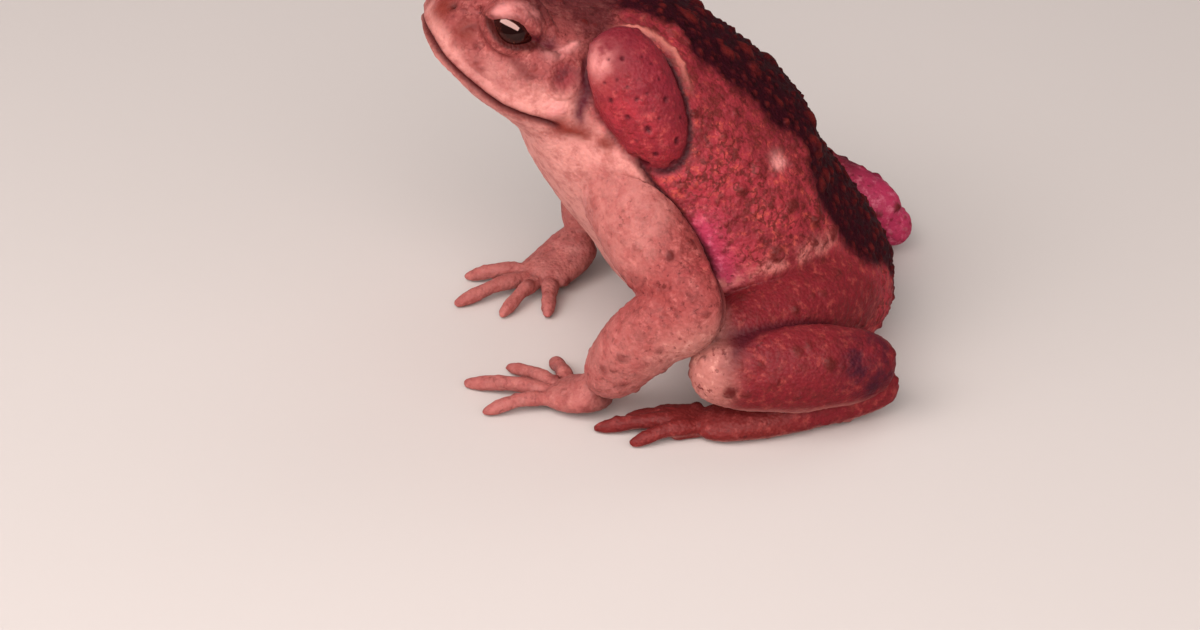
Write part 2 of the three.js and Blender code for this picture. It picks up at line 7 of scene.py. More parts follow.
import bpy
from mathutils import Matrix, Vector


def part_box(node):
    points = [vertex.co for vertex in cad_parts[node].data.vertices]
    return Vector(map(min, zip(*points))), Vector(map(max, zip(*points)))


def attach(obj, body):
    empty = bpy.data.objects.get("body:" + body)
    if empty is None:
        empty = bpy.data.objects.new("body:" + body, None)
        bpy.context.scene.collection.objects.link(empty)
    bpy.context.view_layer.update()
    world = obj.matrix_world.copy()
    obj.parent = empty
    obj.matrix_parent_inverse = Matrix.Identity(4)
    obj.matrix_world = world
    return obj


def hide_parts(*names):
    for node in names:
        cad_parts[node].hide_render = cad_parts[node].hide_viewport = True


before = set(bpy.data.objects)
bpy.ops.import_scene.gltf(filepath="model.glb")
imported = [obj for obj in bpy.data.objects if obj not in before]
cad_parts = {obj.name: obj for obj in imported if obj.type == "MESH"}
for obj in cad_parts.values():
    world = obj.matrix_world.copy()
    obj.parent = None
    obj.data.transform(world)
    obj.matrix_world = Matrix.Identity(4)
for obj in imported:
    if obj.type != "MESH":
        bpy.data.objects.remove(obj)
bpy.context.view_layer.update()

import math

import bpy
import numpy as np
from mathutils import Matrix, Vector

MM = 0.001

# Body sizes

HEAD_PITCH = math.radians(29)
JAW_Y, JAW_Z = -23.7, 64.0  # the mouth's corner from the side, which is the origin of the head's frame
HEAD_LENGTH = 31.7
GAPE_WIDTH = 47.0
TRUNK_WIDTH = 73.0
EYE = {"radius": 5.5, "side": 13.0, "forward": 18.5, "height": 11.7}
EYE_FACES = (0.95, -0.12, 0.28)
LID = {"thickness": 1.4, "rim": 0.85, "long": 5.1, "tall": 4.4, "depth": 4.0}
EYE_OPENING = {"long": 5.5, "above": 2.8, "below": 3.1}
EYE_CLEARANCE = 1.1
EARDRUM = {"forward": 6.3, "height": 9.2, "long": 2.9, "tall": 3.8}
NOSTRIL = {"forward": 29.4, "height": 8.4, "mound": 1.7, "pit": 0.95}
LIPS = ((0.9, 0.25, 0.7), (-0.9, 0.9, 1.4))  # how far above the mouth's line, and in from sides and tip
LIP_RADIUS = 0.95
LIP_REACH = [2.5, 8, 14, 19.5, 24.6, 28.4]  # how far forward the places are that a lip runs through
CREST = {"radius": 1.25, "sunk": 0.35}
CREST_TRACK = [  # across and forward
    (4.6, 29.2), (7.4, 26.6), (9.6, 24), (11, 21.2), (12.2, 17.6), (13.4, 14), (15.4, 10.6), (17, 7.6),
]
GLAND = {
    "centre": (25.2, -9.9, 71.0), "along": (9, 12, -28), "long": 15.4, "across": 8.4, "out": 7.4,
    "fullness": 0.85, "swell": 0.1,
}

VOXEL = 0.38  # the fineness of the skin's mesh
FIRST_SOFTENING, LID_SOFTENING = 0.4, 0.25  # the share of the way to the neighbours' mean, each round
JOINT_SOFTENING, SEAM_SOFTENING = 0.6, 0.6
JOINT_ROUNDS = int(14 * (0.38 / VOXEL) ** 2) + 1  # of softening at the joints, as far on any mesh
SKIN_TRIANGLES = 190000
LOWEST = 0.02  # how far above the floor the skin stays
HOLLOW = 0.09  # how deep a crease is, over the mesh's fineness, where it counts as full
SEED = 7


def unit(v):
    """A direction of length one."""
    v = np.asarray(v, float)
    return v / np.linalg.norm(v, axis=-1, keepdims=True)


def step(low, high, x):
    """A soft step from 0 below low to 1 above high: 3u^2 - 2u^3 of the share u of the way."""
    u = np.clip((x - low) / (high - low), 0, 1)
    return u * u * (3 - 2 * u)


def bell(x, width):
    """A rounded peak of height 1 at x = 0: the exponential of minus the square of x over its width."""
    return np.exp(-((x / width) ** 2))


def through(rows, t):
    """A smooth curve through evenly spaced rows: between two of them a cubic whose slopes at its ends
    are half the difference of the rows on either side."""
    v = np.asarray(rows, float)
    flat = v.ndim == 1
    v = v.reshape(len(v), -1)
    v = np.vstack([2 * v[0] - v[1], v, 2 * v[-1] - v[-2]])
    last = len(v) - 3
    t = np.asarray(t, float)
    place = np.clip(t.ravel(), 0, 1) * last
    i = np.minimum(place.astype(int), last - 1)
    u = (place - i)[:, None]
    a, b, c, d = v[i], v[i + 1], v[i + 2], v[i + 3]
    made = b + 0.5 * u * (c - a + u * (2 * a - 5 * b + 4 * c - d + u * (3 * (b - c) + d - a)))
    return made[:, 0].reshape(t.shape) if flat else made.reshape(t.shape + (-1,))


def lots(corners, seed):
    """A whole number from 0 to 65535 drawn for each corner of a lattice: its three numbers times large
    primes and the seed times another are mixed bit by bit, and shifted copies are mixed in twice."""
    x, y, z = corners.T
    mixed = x * 73856093 ^ y * 19349663 ^ z * 83492791 ^ seed * 2654435761
    mixed = (mixed ^ (mixed >> 13)) * 1274126177 & 0x7FFFFFFF
    return (mixed ^ (mixed >> 16)) & 0xFFFF


def noise(p, size, seed):
    """Soft noise from -1 to 1: a random value at each corner of a lattice of that size, blended across
    each cell with soft steps in the three directions. The seed moves the lattice along too."""
    q = p / size + seed * 17.31
    cell = np.floor(q).astype(np.int64)
    u = q - cell
    u = u * u * (3 - 2 * u)
    total = np.zeros(len(p))
    for corner in np.ndindex(2, 2, 2):
        share = np.prod(np.where(corner, u, 1 - u), axis=1)
        total += (lots(cell + corner, seed) / 32767.5 - 1) * share
    return total


def cells(p, size, seed):
    """Distance to the nearest of a set of scattered points, over the size: low in the middle of a granule,
    high in the furrows between them. Each cell of a lattice of that size holds one point, at random in its
    middle four fifths."""
    q = p / size
    cell = np.floor(q).astype(np.int64)
    nearest = np.full(len(p), 9.0)
    for corner in np.ndindex(3, 3, 3):
        c = cell + corner - 1
        spot = [c[:, axis] + 0.1 + 0.8 * lots(c, seed + axis) / 65535 for axis in range(3)]
        nearest = np.minimum(nearest, sum((spot[axis] - q[:, axis]) ** 2 for axis in range(3)))
    return np.sqrt(nearest)


# The side view

def head_point(forward, height):
    """The (y, z) of a place in the head's own frame, turned up by its pitch about the mouth's corner."""
    c, s = math.cos(HEAD_PITCH), math.sin(HEAD_PITCH)
    return np.array([JAW_Y - forward * c + height * s, JAW_Z + forward * s + height * c])


def head_place(p):
    """The head's own (forward, height) of points: head_point turned back."""
    c, s = math.cos(HEAD_PITCH), math.sin(HEAD_PITCH)
    y, z = p[..., 1] - JAW_Y, p[..., 2] - JAW_Z
    return -y * c + z * s, y * s + z * c


HEAD_UP = np.array([0, math.sin(HEAD_PITCH), math.cos(HEAD_PITCH)])

# Stations from snout to rump: top and bottom of the side view, the width as a share of the gape's or the
# trunk's, how far above the middle the widest level lies, and how square the top and the bottom are.
# Those of the head are in the head's frame.
HEAD_STATIONS = [
    ((HEAD_LENGTH, 3.6), (HEAD_LENGTH, 3.6), 0, -0.2, 2.2, 2),
    ((HEAD_LENGTH - 0.6, 7), (HEAD_LENGTH - 0.6, 0), 0.23, -0.25, 2.3, 2),
    ((HEAD_LENGTH - 2.2, 9.6), (HEAD_LENGTH - 2, -1.7), 0.41, -0.3, 2.4, 2),
    ((27.4, 11.4), (27.4, -3), 0.57, -0.38, 2.5, 2),
    ((23.8, 13.2), (23.8, -4.2), 0.7, -0.45, 2.6, 2.1),
    ((19.8, 14.8), (19.4, -5.2), 0.81, -0.5, 2.7, 2.2),
    ((15.5, 16.6), (15, -6), 0.89, -0.45, 2.7, 2.2),
    ((10.5, 18.6), (9.3, -7.6), 0.95, -0.35, 2.6, 2.2),
    ((5.5, 20.4), (4, -10.4), 0.99, -0.2, 2.4, 2.2),
    ((1, 22), (-0.9, -14.8), 1.04, -0.1, 2.3, 2.2),
]
TRUNK_STATIONS = [
    ((-2, 82.4), (-24.4, 40), 0.8, -0.05, 2.3, 2.2),
    ((9.4, 75), (-17.6, 30), 0.9, -0.1, 2.3, 2.1),
    ((20.4, 65.4), (-11.5, 20), 0.97, -0.15, 2.3, 2.1),
    ((30, 55.4), (-1, 11), 1, -0.2, 2.3, 2.1),
    ((35, 44), (11, 5), 0.96, -0.2, 2.2, 2.1),
    ((42.8, 32.2), (24, 1.2), 0.84, -0.15, 2.1, 2.2),
    ((49.4, 21), (37, -0.4), 0.62, -0.1, 2, 2.2),
    ((51.4, 11.4), (46, 1.6), 0.3, 0, 2, 2),
    ((51, 6), (51, 6), 0, 0, 2, 2),
]
STATIONS = np.array(
    [[*head_point(*top), *head_point(*bottom), share * (GAPE_WIDTH / 2), *rest]
     for top, bottom, share, *rest in HEAD_STATIONS]
    + [[*top, *bottom, share * (TRUNK_WIDTH / 2), *rest] for top, bottom, share, *rest in TRUNK_STATIONS]
)


def body_points(t, angle):
    """The body's surface. At each t and at the angle a from the back it lies the power 2 / n of the
    cosine of a up and the same power of its sine out, over half the height and width, n being its
    squareness there. Then u up becomes u + level * (1 - u^2), which raises the widest level."""
    row = through(STATIONS, t)
    top, bottom, half, level, crown, belly = (
        row[..., 0:2], row[..., 2:4], row[..., 4], row[..., 5], row[..., 6], row[..., 7],
    )
    c, s = np.cos(angle), np.sin(angle)
    power = 2 / np.where(c > 0, crown, belly)
    rise = np.sign(c) * np.abs(c) ** power
    out = np.sign(s) * np.abs(s) ** power
    share = ((1 + rise + level * (1 - rise * rise)) / 2)[..., None]
    side_view = bottom + (top - bottom) * share
    return np.stack([np.maximum(half, 0) * out, side_view[..., 0], side_view[..., 1]], -1)


def half_width(y, z):
    """Half the body's width where the side view has (y, z). The ring through that point is found by
    halving, 30 times, the stretch it may lie in. Then body_points is solved for u, and the reach is the
    root n of 1 - |u|^n, times the ring's half width."""
    y, z = np.atleast_1d(y).astype(float), np.atleast_1d(z).astype(float)
    low, high = np.full(len(y), 0.005), np.full(len(y), 0.995)
    for _ in range(30):
        t = (low + high) / 2
        row = through(STATIONS, t)
        line, spot = row[:, 0:2] - row[:, 2:4], np.stack([y, z], 1) - row[:, 2:4]
        ahead = line[:, 0] * spot[:, 1] - line[:, 1] * spot[:, 0] > 0
        high, low = np.where(ahead, t, high), np.where(ahead, low, t)
    share = np.clip((spot * line).sum(1) / (line**2).sum(1), 0.001, 0.999)
    level = np.where(np.abs(row[:, 5]) < 1e-4, 1e-4, row[:, 5])
    rise = (1 - np.sqrt(np.maximum(0, 1 - 4 * level * (2 * share - 1 - level)))) / (2 * level)
    power = np.where(rise > 0, row[:, 6], row[:, 7])
    return row[:, 4] * np.maximum(0, 1 - np.abs(rise) ** power) ** (1 / power)


def cheek(side, forward, height):
    """The skin at the side of the head, and the way it faces: square to the lines from it to the skin
    half a millimetre ahead and half a millimetre above."""
    spots = np.array([head_point(forward + a, height + b) for a, b in ((0, 0), (0.5, 0), (0, 0.5))])
    p = np.column_stack([side * half_width(spots[:, 0], spots[:, 1]), spots])
    out = unit(np.cross(p[1] - p[0], p[2] - p[0]))
    return p[0], out * np.sign(out[0] * side)


# Closed surfaces: each is a pair of points and triangles

def closed(grid, first, last):
    """Rings of points, each joined to the next by two triangles a side, with a pole at each end."""
    rings, sides = grid.shape[:2]
    ring = np.arange(rings - 1)[:, None] * sides
    a, b = np.arange(sides)[None, :], (np.arange(sides) + 1)[None, :] % sides
    walls = np.concatenate([
        np.stack([ring + a, ring + b, ring + sides + b], -1).reshape(-1, 3),
        np.stack([ring + a, ring + sides + b, ring + sides + a], -1).reshape(-1, 3),
    ])
    pole, end = rings * sides, (rings - 1) * sides
    caps = np.concatenate([
        np.stack([np.full(sides, pole), b[0], a[0]], -1),
        np.stack([np.full(sides, pole + 1), end + a[0], end + b[0]], -1),
    ])
    points = np.vstack([grid.reshape(-1, 3), first, last])
    return outward(points, np.vstack([walls, caps]))


def outward(points, triangles):
    """The same surface with its faces turned out, so that the volumes between the origin and each face
    have a positive sum."""
    a, b, c = points[triangles[:, 0]], points[triangles[:, 1]], points[triangles[:, 2]]
    volume = np.einsum("ij,ij->i", a, np.cross(b, c)).sum()
    return points, triangles if volume > 0 else triangles[:, ::-1]


def steps(rings, sides):
    """Even steps along a form, without its two poles, and round it."""
    return np.meshgrid(np.arange(1, rings) / rings, 2 * np.pi * np.arange(sides) / sides, indexing="ij")


def body(rings=150, sides=128):
    """The whole body as one loft over body_points."""
    t, angle = steps(rings, sides)
    ends = body_points(np.array([0.0, 1.0]), np.array([0.0, 0.0]))
    return closed(body_points(t, angle), ends[:1], ends[1:])


def tube_points(t, angle, points, wide, deep=None, up=(0, 0, 1)):
    """The surface of a tube along points, elliptical in section: wide and deep are its half sizes, deep
    towards up. At the share s of its length both are times the 2.6th root of 1 - |2s - 1|^6, which rounds
    the ends, and s = (1 - cos(pi t)) / 2 sets the rings closer there."""
    deep = wide if deep is None else deep
    along = (1 - np.cos(np.pi * t)) / 2
    round_off = np.maximum(0, 1 - np.abs(2 * along - 1) ** 6) ** (1 / 2.6)
    ahead, behind = through(points, np.minimum(along + 0.02, 1)), through(points, np.maximum(along - 0.02, 0))
    tangent = unit(ahead - behind)
    side = unit(np.cross(up, tangent))
    rise = np.cross(tangent, side)
    reach_w = (round_off * through(wide, along) * np.sin(angle))[..., None]
    reach_d = (round_off * through(deep, along) * np.cos(angle))[..., None]
    return through(points, along) + reach_w * side + reach_d * rise


def flesh(points, wide, deep=None, up=(0, 0, 1), rings=48, sides=36):
    """A closed tube over tube_points, at even steps along and round it."""
    t, angle = steps(rings, sides)
    grid = tube_points(t, angle, points, wide, deep, up)
    return closed(grid, np.array([points[0]], float), np.array([points[-1]], float))


def axes_for(out, up):
    """Two directions square to out and to each other, the second the nearer to up."""
    right = unit(np.cross(up, out))
    return right, np.cross(out, right)


def globe(rings, sides):
    """The angle down from a ball's pole, ring by ring, and the angle round it, side by side."""
    polar = np.pi * np.arange(1, rings)[:, None, None] / rings
    return polar, 2 * np.pi * np.arange(sides)[None, :, None] / sides


def ball(centre, sizes, out=(0, 0, 1), up=(0, 1, 0), rings=32, sides=48):
    """A ball squashed to three half sizes, the third of them along out: the sines and cosines of the two
    angles, each times its half size."""
    right, above = axes_for(out, up)
    polar, angle = globe(rings, sides)
    a, b, c = (np.asarray(d, float) * s for d, s in zip((right, above, out), sizes))
    grid = centre + np.sin(polar) * (np.cos(angle) * a + np.sin(angle) * b) + np.cos(polar) * c
    return closed(grid, np.array([centre + c]), np.array([centre - c]))


def hoop(centre, long, tall, thickness, out, up, rings=64, sides=16):
    """A round rod bent into an oval that lies flat against out: a small circle carried round a large one."""
    right, above = axes_for(out, up)
    turn = 2 * np.pi * np.arange(rings)[:, None, None] / rings
    angle = 2 * np.pi * np.arange(sides)[None, :, None] / sides
    spoke = np.cos(turn) * right * long + np.sin(turn) * above * tall
    grid = centre + spoke + thickness * (np.cos(angle) * unit(spoke) + np.sin(angle) * np.asarray(out))
    a, b = np.arange(rings)[:, None] * sides, (np.arange(rings)[:, None] + 1) % rings * sides
    s, n = np.arange(sides)[None, :], (np.arange(sides)[None, :] + 1) % sides
    triangles = np.concatenate([
        np.stack([a + s, b + s, b + n], -1).reshape(-1, 3),
        np.stack([a + s, b + n, a + n], -1).reshape(-1, 3),
    ])
    return outward(grid.reshape(-1, 3), triangles)


# Forms of the head

MOUTH_LINE = np.array([  # height by how far forward
    (-40, -36), (-8, -7), (-3, -2.6), (1, -0.6), (5, -0.7), (10, -1.7), (15, -2.2), (20, -1.6), (25.6, -0.9),
    (29, -0.1), (HEAD_LENGTH, 0.8), (60, 0.8),
])


def mouth_height(forward):
    """The height of the mouth's line in the head's frame, straight between its named points."""
    return np.interp(forward, MOUTH_LINE[:, 0], MOUTH_LINE[:, 1])


def lip(rise, inset, tip_inset):
    """A rounded edge that follows the mouth round the snout: a tube through places over or under the
    mouth's line, set in from the skin, on the left, at the tip and mirrored on the right."""
    reach = np.array(LIP_REACH)
    spots = np.array([head_point(f, mouth_height(f) + rise) for f in reach])
    across = half_width(spots[:, 0], spots[:, 1]) - inset
    left = np.column_stack([across, spots])
    right = (left * (-1, 1, 1))[::-1]
    tip = head_point(HEAD_LENGTH - tip_inset, mouth_height(HEAD_LENGTH) + rise)
    points = np.vstack([left, [0, *tip], right])
    wide = np.full(len(points), LIP_RADIUS)
    wide[[0, -1]] *= 0.5
    return flesh(points, wide, up=HEAD_UP, rings=160, sides=16)


def eye_centre(side):
    """The middle of an eyeball, given in the head's frame."""
    y, z = head_point(EYE["forward"], EYE["height"])
    return np.array([side * EYE["side"], y, z])


def eye_out(side):
    """The way an eye looks."""
    return unit(np.array(EYE_FACES) * (side, 1, 1))


def lids(side):
    """The mound of flesh over an eye, a ball, and the thicker rim of lid round its opening, a hoop."""
    centre, out = eye_centre(side), eye_out(side)
    bulge = EYE["radius"] + LID["thickness"]
    rim = hoop(centre + out * LID["depth"], LID["long"], LID["tall"], LID["rim"], out, HEAD_UP)
    return [ball(centre, (bulge, bulge, bulge)), rim]


def crest(side):
    """The bony crest from the nostril over the eye and down towards the gland: a tube half sunk in the
    head, thinner at its two ends."""
    points = np.array([crown_point(side * a, f) for a, f in CREST_TRACK]) - HEAD_UP * CREST["sunk"]
    wide = np.full(len(points), CREST["radius"])
    wide[[0, -1]] *= 0.7
    return flesh(points, wide, up=HEAD_UP, rings=90, sides=18)


def crown_point(across, forward):
    """The top of the head or of the eye's mound, whichever is higher, above a place of its plan. The
    head's is the first height, from the top down, whose half width reaches it; the mound is a ball."""
    heights = np.linspace(24, 2, 221)
    spots = np.array([head_point(forward, h) for h in heights])
    reach = half_width(spots[:, 0], spots[:, 1])
    top = heights[np.argmax(reach >= abs(across))]
    bulge = EYE["radius"] + LID["thickness"]
    beside = (forward - EYE["forward"]) ** 2 + (abs(across) - EYE["side"]) ** 2
    if beside < bulge**2:
        top = max(top, EYE["height"] + math.sqrt(bulge**2 - beside))
    return np.array([across, *head_point(forward, top)])


def nostril(side):
    """A low mound at a nostril: a squashed ball that lies 0.45 of its radius below the skin."""
    point, out = cheek(side, NOSTRIL["forward"], NOSTRIL["height"])
    size = NOSTRIL["mound"]
    return ball(point - out * size * 0.45, (size, size * 0.9, size * 0.8), out, HEAD_UP)


def drum_rim(side):
    """The thin raised ring round an eardrum: a hoop that lies half in the skin."""
    point, out = cheek(side, EARDRUM["forward"], EARDRUM["height"])
    return hoop(point - 0.2 * out, EARDRUM["long"] + 0.5, EARDRUM["tall"] + 0.5, 0.4, out, HEAD_UP)


# Edges and marks of the skin

# The edges between kinds of skin, each as pairs of a place and the value there
# BAND_EDGE gives how far out the dark band along the back reaches; that band is painted shade
BAND_EDGE = np.array([
    (-20, 9), (-6.5, 10.5), (0, 10), (7, 18.5), (18, 17), (27, 18.5), (36, 21.5), (47, 24), (59, 24.5),
    (66, 25), (76, 15), (92, 5),
])
FACE_EDGE = np.array([(0, 4.5), (12, 4), (18, 3.2), (24, 1.6), (29, 0.4), (40, 0)])
CHEST_EDGE = np.array([(-12, 0), (-4, 1), (8, 1.5), (23, 7), (34, 13), (60, 22)])
ARM_CREASE = np.array([  # (y, z), z being the place
    (1.5, 25), (3.3, 30), (3.7, 34), (3.1, 37), (1.9, 40), (-0.6, 44.4), (-3.9, 49.5), (-7.4, 53.5),
    (-10, 57.4), (-12, 63),
])
FAR_ARM_BACK = 4.0  # how much further back the right arm lies

# Marks on the skin: tracks on the left side, each with its half width, drawn on both sides
MARKS = {
    "dark": [
        ([(18, -30.5, 82), (17.6, -27.7, 80.8)], 1.7),  # behind the eye's rear corner
        # behind the eardrum: painted shade along the gland's front edge
        ([(20.6, -19.2, 77.5), (21.6, -20.3, 74.7), (23.4, -20.8, 71.1), (24.4, -22, 67)], 1.3),
    ],
    "brown": [
        ([(12.3, -44.1, 82.8)], 2.6),  # before the eye
        ([(4.4, -47.3, 84.6)], 3.2),  # round the nostril
        ([(23.6, -26.4, 65), (24, -24.5, 64.4), (25.2, -21.5, 64.5)], 2.3),  # behind the mouth
        ([(27.4, -17.1, 62.4)], 1.8),  # below the gland's front
    ],
    # pale skin on the ridge behind the eye and over the mouth's end, and painted highlights
    "pale_and_highlight": [
        # painted highlight on the wet upper lid
        ([(16.1, -37.1, 88.3), (16.4, -34.3, 88.9), (16.8, -31, 87.9)], 1.5),  # the wet upper lid
        ([(18.9, -27.1, 79.1), (17.4, -22.1, 80)], 1.4),  # the ridge behind the eye
        ([(23.1, -27, 68.5)], 2),  # over the mouth's end
        # painted highlight on the gland's upper front
        ([(26, -18.4, 80.2)], 3.1),  # the gland's upper front
        # painted highlight high on the flank
        ([(26.2, 19.7, 53.8)], 2),  # high on the flank
    ],
    "bump": [
        ([(18.9, -27.1, 79.1), (17.4, -22.1, 80)], 1.1),
        ([(23.1, -27, 68.5)], 1.8),
        ([(24, -24.5, 64.4), (25.2, -21.5, 64.5)], 1.6),
        ([(27.4, -17.1, 62.4)], 1.6),
    ],
    "groin": [([(34.7, 1.5, 43), (35.2, 4, 36), (35.5, 6.5, 31), (35.3, 6, 26)], 4.6)],
}


# Gland, limbs, hands and feet

def gland_axes(side):
    """The gland's own directions: along it, across it and out of the body."""
    long = unit(np.array(GLAND["along"]) * (side, 1, 1))
    across = unit(np.cross(long, (side, 0.1, 0.25)))
    return long, across, unit(np.cross(across, long))


def gland(side, rings=48, sides=64):
    """A long pad: a ball stretched along its axis. At the angle a down from its upper pole its sections
    are as wide as the sine of a to the power of its fullness, times 1 + swell * cos a across it."""
    long, across, out = gland_axes(side)
    polar, angle = globe(rings, sides)
    full = np.sin(polar) ** GLAND["fullness"]
    swell = 1 + GLAND["swell"] * np.cos(polar)
    middle = np.array(GLAND["centre"]) * (side, 1, 1)
    grid = middle - GLAND["long"] * np.cos(polar) * long + full * (
        GLAND["across"] * swell * np.cos(angle) * across + GLAND["out"] * np.sin(angle) * out
    )
    return closed(grid, [middle - GLAND["long"] * long], [middle + GLAND["long"] * long])


# Each limb's line of points by side, with the signs of the left one, and the degrees a paw is turned in by
POSES = {
    1: {
        "upper_arm": [(17, -15, 53), (31, -10.4, 43), (43, -1.8, 29.6)],
        "forearm": [(43.8, -3.4, 31.4), (41, -12.6, 21.6), (33.5, -19.5, 8)],
        "palm": [(33.5, -18, 7), (30, -23, 4), (25, -27.5, 2.6)],
        "thigh": [(12, 41, 17), (30, 24, 20.5), (46, 0.6, 20.5)],
        "shank": [(47.5, -2.5, 17.5), (47.5, 19, 16), (43.5, 41.5, 12.5)],
        "sole": [(42.5, 43, 8), (44, 28, 5.2), (45.5, 13, 3.8), (45, -1, 2.6)],
        "palm_turn": 0,
        "sole_turn": 0,
    },
    -1: {
        "upper_arm": [(17, -12, 52), (30, -5.9, 41.5), (41.5, 3.1, 28.7)],
        "forearm": [(42.3, 1.2, 30.4), (40, -6, 20.1), (31, -12.6, 8.4)],
        "palm": [(31.5, -11.6, 7.6), (27, -18.4, 4.2), (22.5, -24.5, 2.6)],
        "thigh": [(12, 41, 17), (30, 32, 18.5), (45, 16, 20)],
        "shank": [(46.5, 13, 17.5), (41, 37, 14), (24, 60, 9.5)],
        "sole": [(23, 61.5, 7.4), (34, 54, 5), (43, 43, 3.6), (48, 30, 2.6)],
        "palm_turn": -8,
        "sole_turn": -22,
    },
}
# A paw's half sizes along its line, the point of that line, and the share of the way to the next, from
# which the digits spread, each digit's turn, length and radius, and the webs' share of the digits' length
PAWS = {
    "palm": {
        "wide": [5.6, 6.6, 6.4], "deep": [4.8, 3.4, 2.4], "spread_from": (1, 0.25),
        "digits": [(-2, 20, 1.7), (28, 25, 1.8), (55, 21, 1.7), (85, 18, 1.8)], "web": 0,
    },
    "sole": {
        "wide": [5.4, 5.4, 6, 6.2], "deep": [5.4, 4.8, 3.8, 2.8], "spread_from": (2, 0.6),
        "digits": [(44, 12, 1.7), (34, 16, 1.8), (23, 21, 1.8), (11, 27, 1.9), (-6, 20, 1.8)], "web": 0.55,
    },
}
PAW_HEIGHT = 2.4
DIGIT_SWELLS = np.array([1.05, 0.92, 1.0, 0.8, 0.88, 0.7])  # shares of a digit's radius, from root to tip


def joint_points(side, name):
    """The points of a limb's line on one side."""
    return np.array(POSES[side][name], float) * (side, 1, 1)


LIMB_SIZES = {  # half sizes, wide and deep, and the direction that deep is measured in
    "upper_arm": ([8.5, 8.4, 7.2], [10, 9, 7.6], (0, 0, 1)),
    "forearm": ([6.8, 7.5, 5.7], [8.6, 7.8, 5.4], (0, 1, 0)),
    "thigh": ([10, 10.5, 7.4], [12, 11, 8], (0, 0, 1)),
    "shank": ([6.6, 8, 6], [7.2, 9.5, 7.4], (0, 0, 1)),
}


def limbs(side):
    """Arm and leg tubes of one side, from the body outwards, and a sleeve of flesh that runs round the
    elbow, from two thirds down the upper arm to a third down the forearm."""
    upper, lower = joint_points(side, "upper_arm"), joint_points(side, "forearm")
    bend = [through(upper, 0.68), (upper[2] + lower[0]) / 2, through(lower, 0.38)]
    tubes = [flesh(joint_points(side, name), *sizes) for name, sizes in LIMB_SIZES.items()]
    return [*tubes, flesh(bend, [8.1, 7.9, 7.9])]


def digit(root, tip, radius, knuckle=0.7):
    """A finger or toe: a tube from root to tip, a little flat, raised in its middle by the knuckle, and
    swollen at its joints and tip."""
    middle = (root + tip) / 2
    middle[2] = max(root[2], tip[2]) + knuckle
    wide = radius * DIGIT_SWELLS
    return flesh([root, middle, tip], wide, wide * 0.93, rings=40, sides=20)


def fan(side, centre, digits, turned, web):
    """Digits spread from a centre, turned inwards by their angles. Each starts 2.5 from it and lies at its
    tip 0.6 of its radius above the floor. A web is a thin, flat tube between two of them, along its share
    of the shorter, as wide as the gap between them."""
    def away(turn):
        """The level direction at an angle from straight ahead, towards the toad's middle."""
        a = math.radians(turn + turned)
        return np.array([-side * math.sin(a), -math.cos(a), 0])
    made = []
    for turn, length, radius in digits:
        tip = centre + away(turn) * length
        tip[2] = radius * 0.6
        made.append(digit(centre + away(turn) * 2.5, tip, radius))
    for (turn, length, _), (other, other_length, _) in zip(digits, digits[1:] if web else ()):
        reach = web * min(length, other_length)
        spread = math.sin(math.radians(abs(turn - other) / 2))
        share = np.array([0.15, 0.6, 1])
        points = centre + away((turn + other) / 2) * (reach * share)[:, None]
        points[:, 2] = 0.9
        made.append(flesh(points, 0.8 + reach * share * spread, [0.8, 0.6, 0.5], rings=24, sides=24))
    return made


def paw(side, name):
    """A palm or sole, which is a tube along its line, and its digits."""
    form, points = PAWS[name], joint_points(side, name)
    i, share = form["spread_from"]
    centre = points[i] + share * (points[i + 1] - points[i])
    centre[2] = PAW_HEIGHT
    digits = fan(side, centre, form["digits"], POSES[side][f"{name}_turn"], form["web"])
    return [flesh(points, form["wide"], form["deep"]), *digits]


# Large warts: each zone has its stretch along a form and its angles round it, how many are tried, and
# their least and greatest radius. Along the body it is in stations: the crown, the nape, the back, the
# rump and the two flanks. On the limbs the angles are those of the left side.
WART_HEIGHT = 0.42  # of its radius
WART_SPACING = 1.25
WART_SEED = 20
BODY_WARTS = [
    ((5.4, 8.4), (-17, 17), 5, (0.9, 1.3)),
    ((9.5, 11.9), (-26, 26), 12, (1.5, 2.5)),
    ((12, 15.2), (-48, 48), 22, (1.6, 2.8)),
    ((15.2, 16.6), (-26, 26), 5, (1.4, 2.2)),
    ((12, 13.4), (50, 72), 7, (1.2, 1.8)),
    ((12, 13.4), (-72, -50), 7, (1.2, 1.8)),
]
LIMB_WARTS = {
    "upper_arm": ((0.5, 0.85), (-60, 50), 3, (1, 1.5)),
    "forearm": ((0.25, 0.8), (-150, -30), 4, (1, 1.5)),
    "thigh": ((0.45, 0.78), (-30, 32), 5, (1.1, 1.7)),
    "shank": ((0.25, 0.85), (-110, -15), 5, (1.1, 1.8)),
}


def draws():
    """Numbers from 0 to 1 in an order that is always the same: each is the last one times 16807,
    less whole multiples of 2147483647."""
    drawn = WART_SEED
    while True:
        drawn = drawn * 16807 % 2147483647
        yield drawn / 2147483647


def warts_on(surface, zone, draw, flip=1):
    """Warts of one zone: (point, the way out, radius). Small ones are commoner, as the share of the way
    to the greatest radius is a draw to the power of 1.6. The way out is square to the lines to nearby
    points of the surface. A wart that would crowd an earlier one is dropped."""
    (start, end), (low, high), count, (least, most) = zone
    kept = []
    for _ in range(count):
        t = start + (end - start) * next(draw)
        angle = math.radians(flip * (low + (high - low) * next(draw)))
        radius = least + (most - least) * next(draw) ** 1.6
        point, ahead, beside = surface(np.array([t, t + 0.004, t]), np.array([angle, angle, angle + 0.02]))
        if all(np.linalg.norm(point - other) >= WART_SPACING * (radius + size) for other, _, size in kept):
            kept.append((point, unit(np.cross(ahead - point, beside - point)), radius))
    return kept


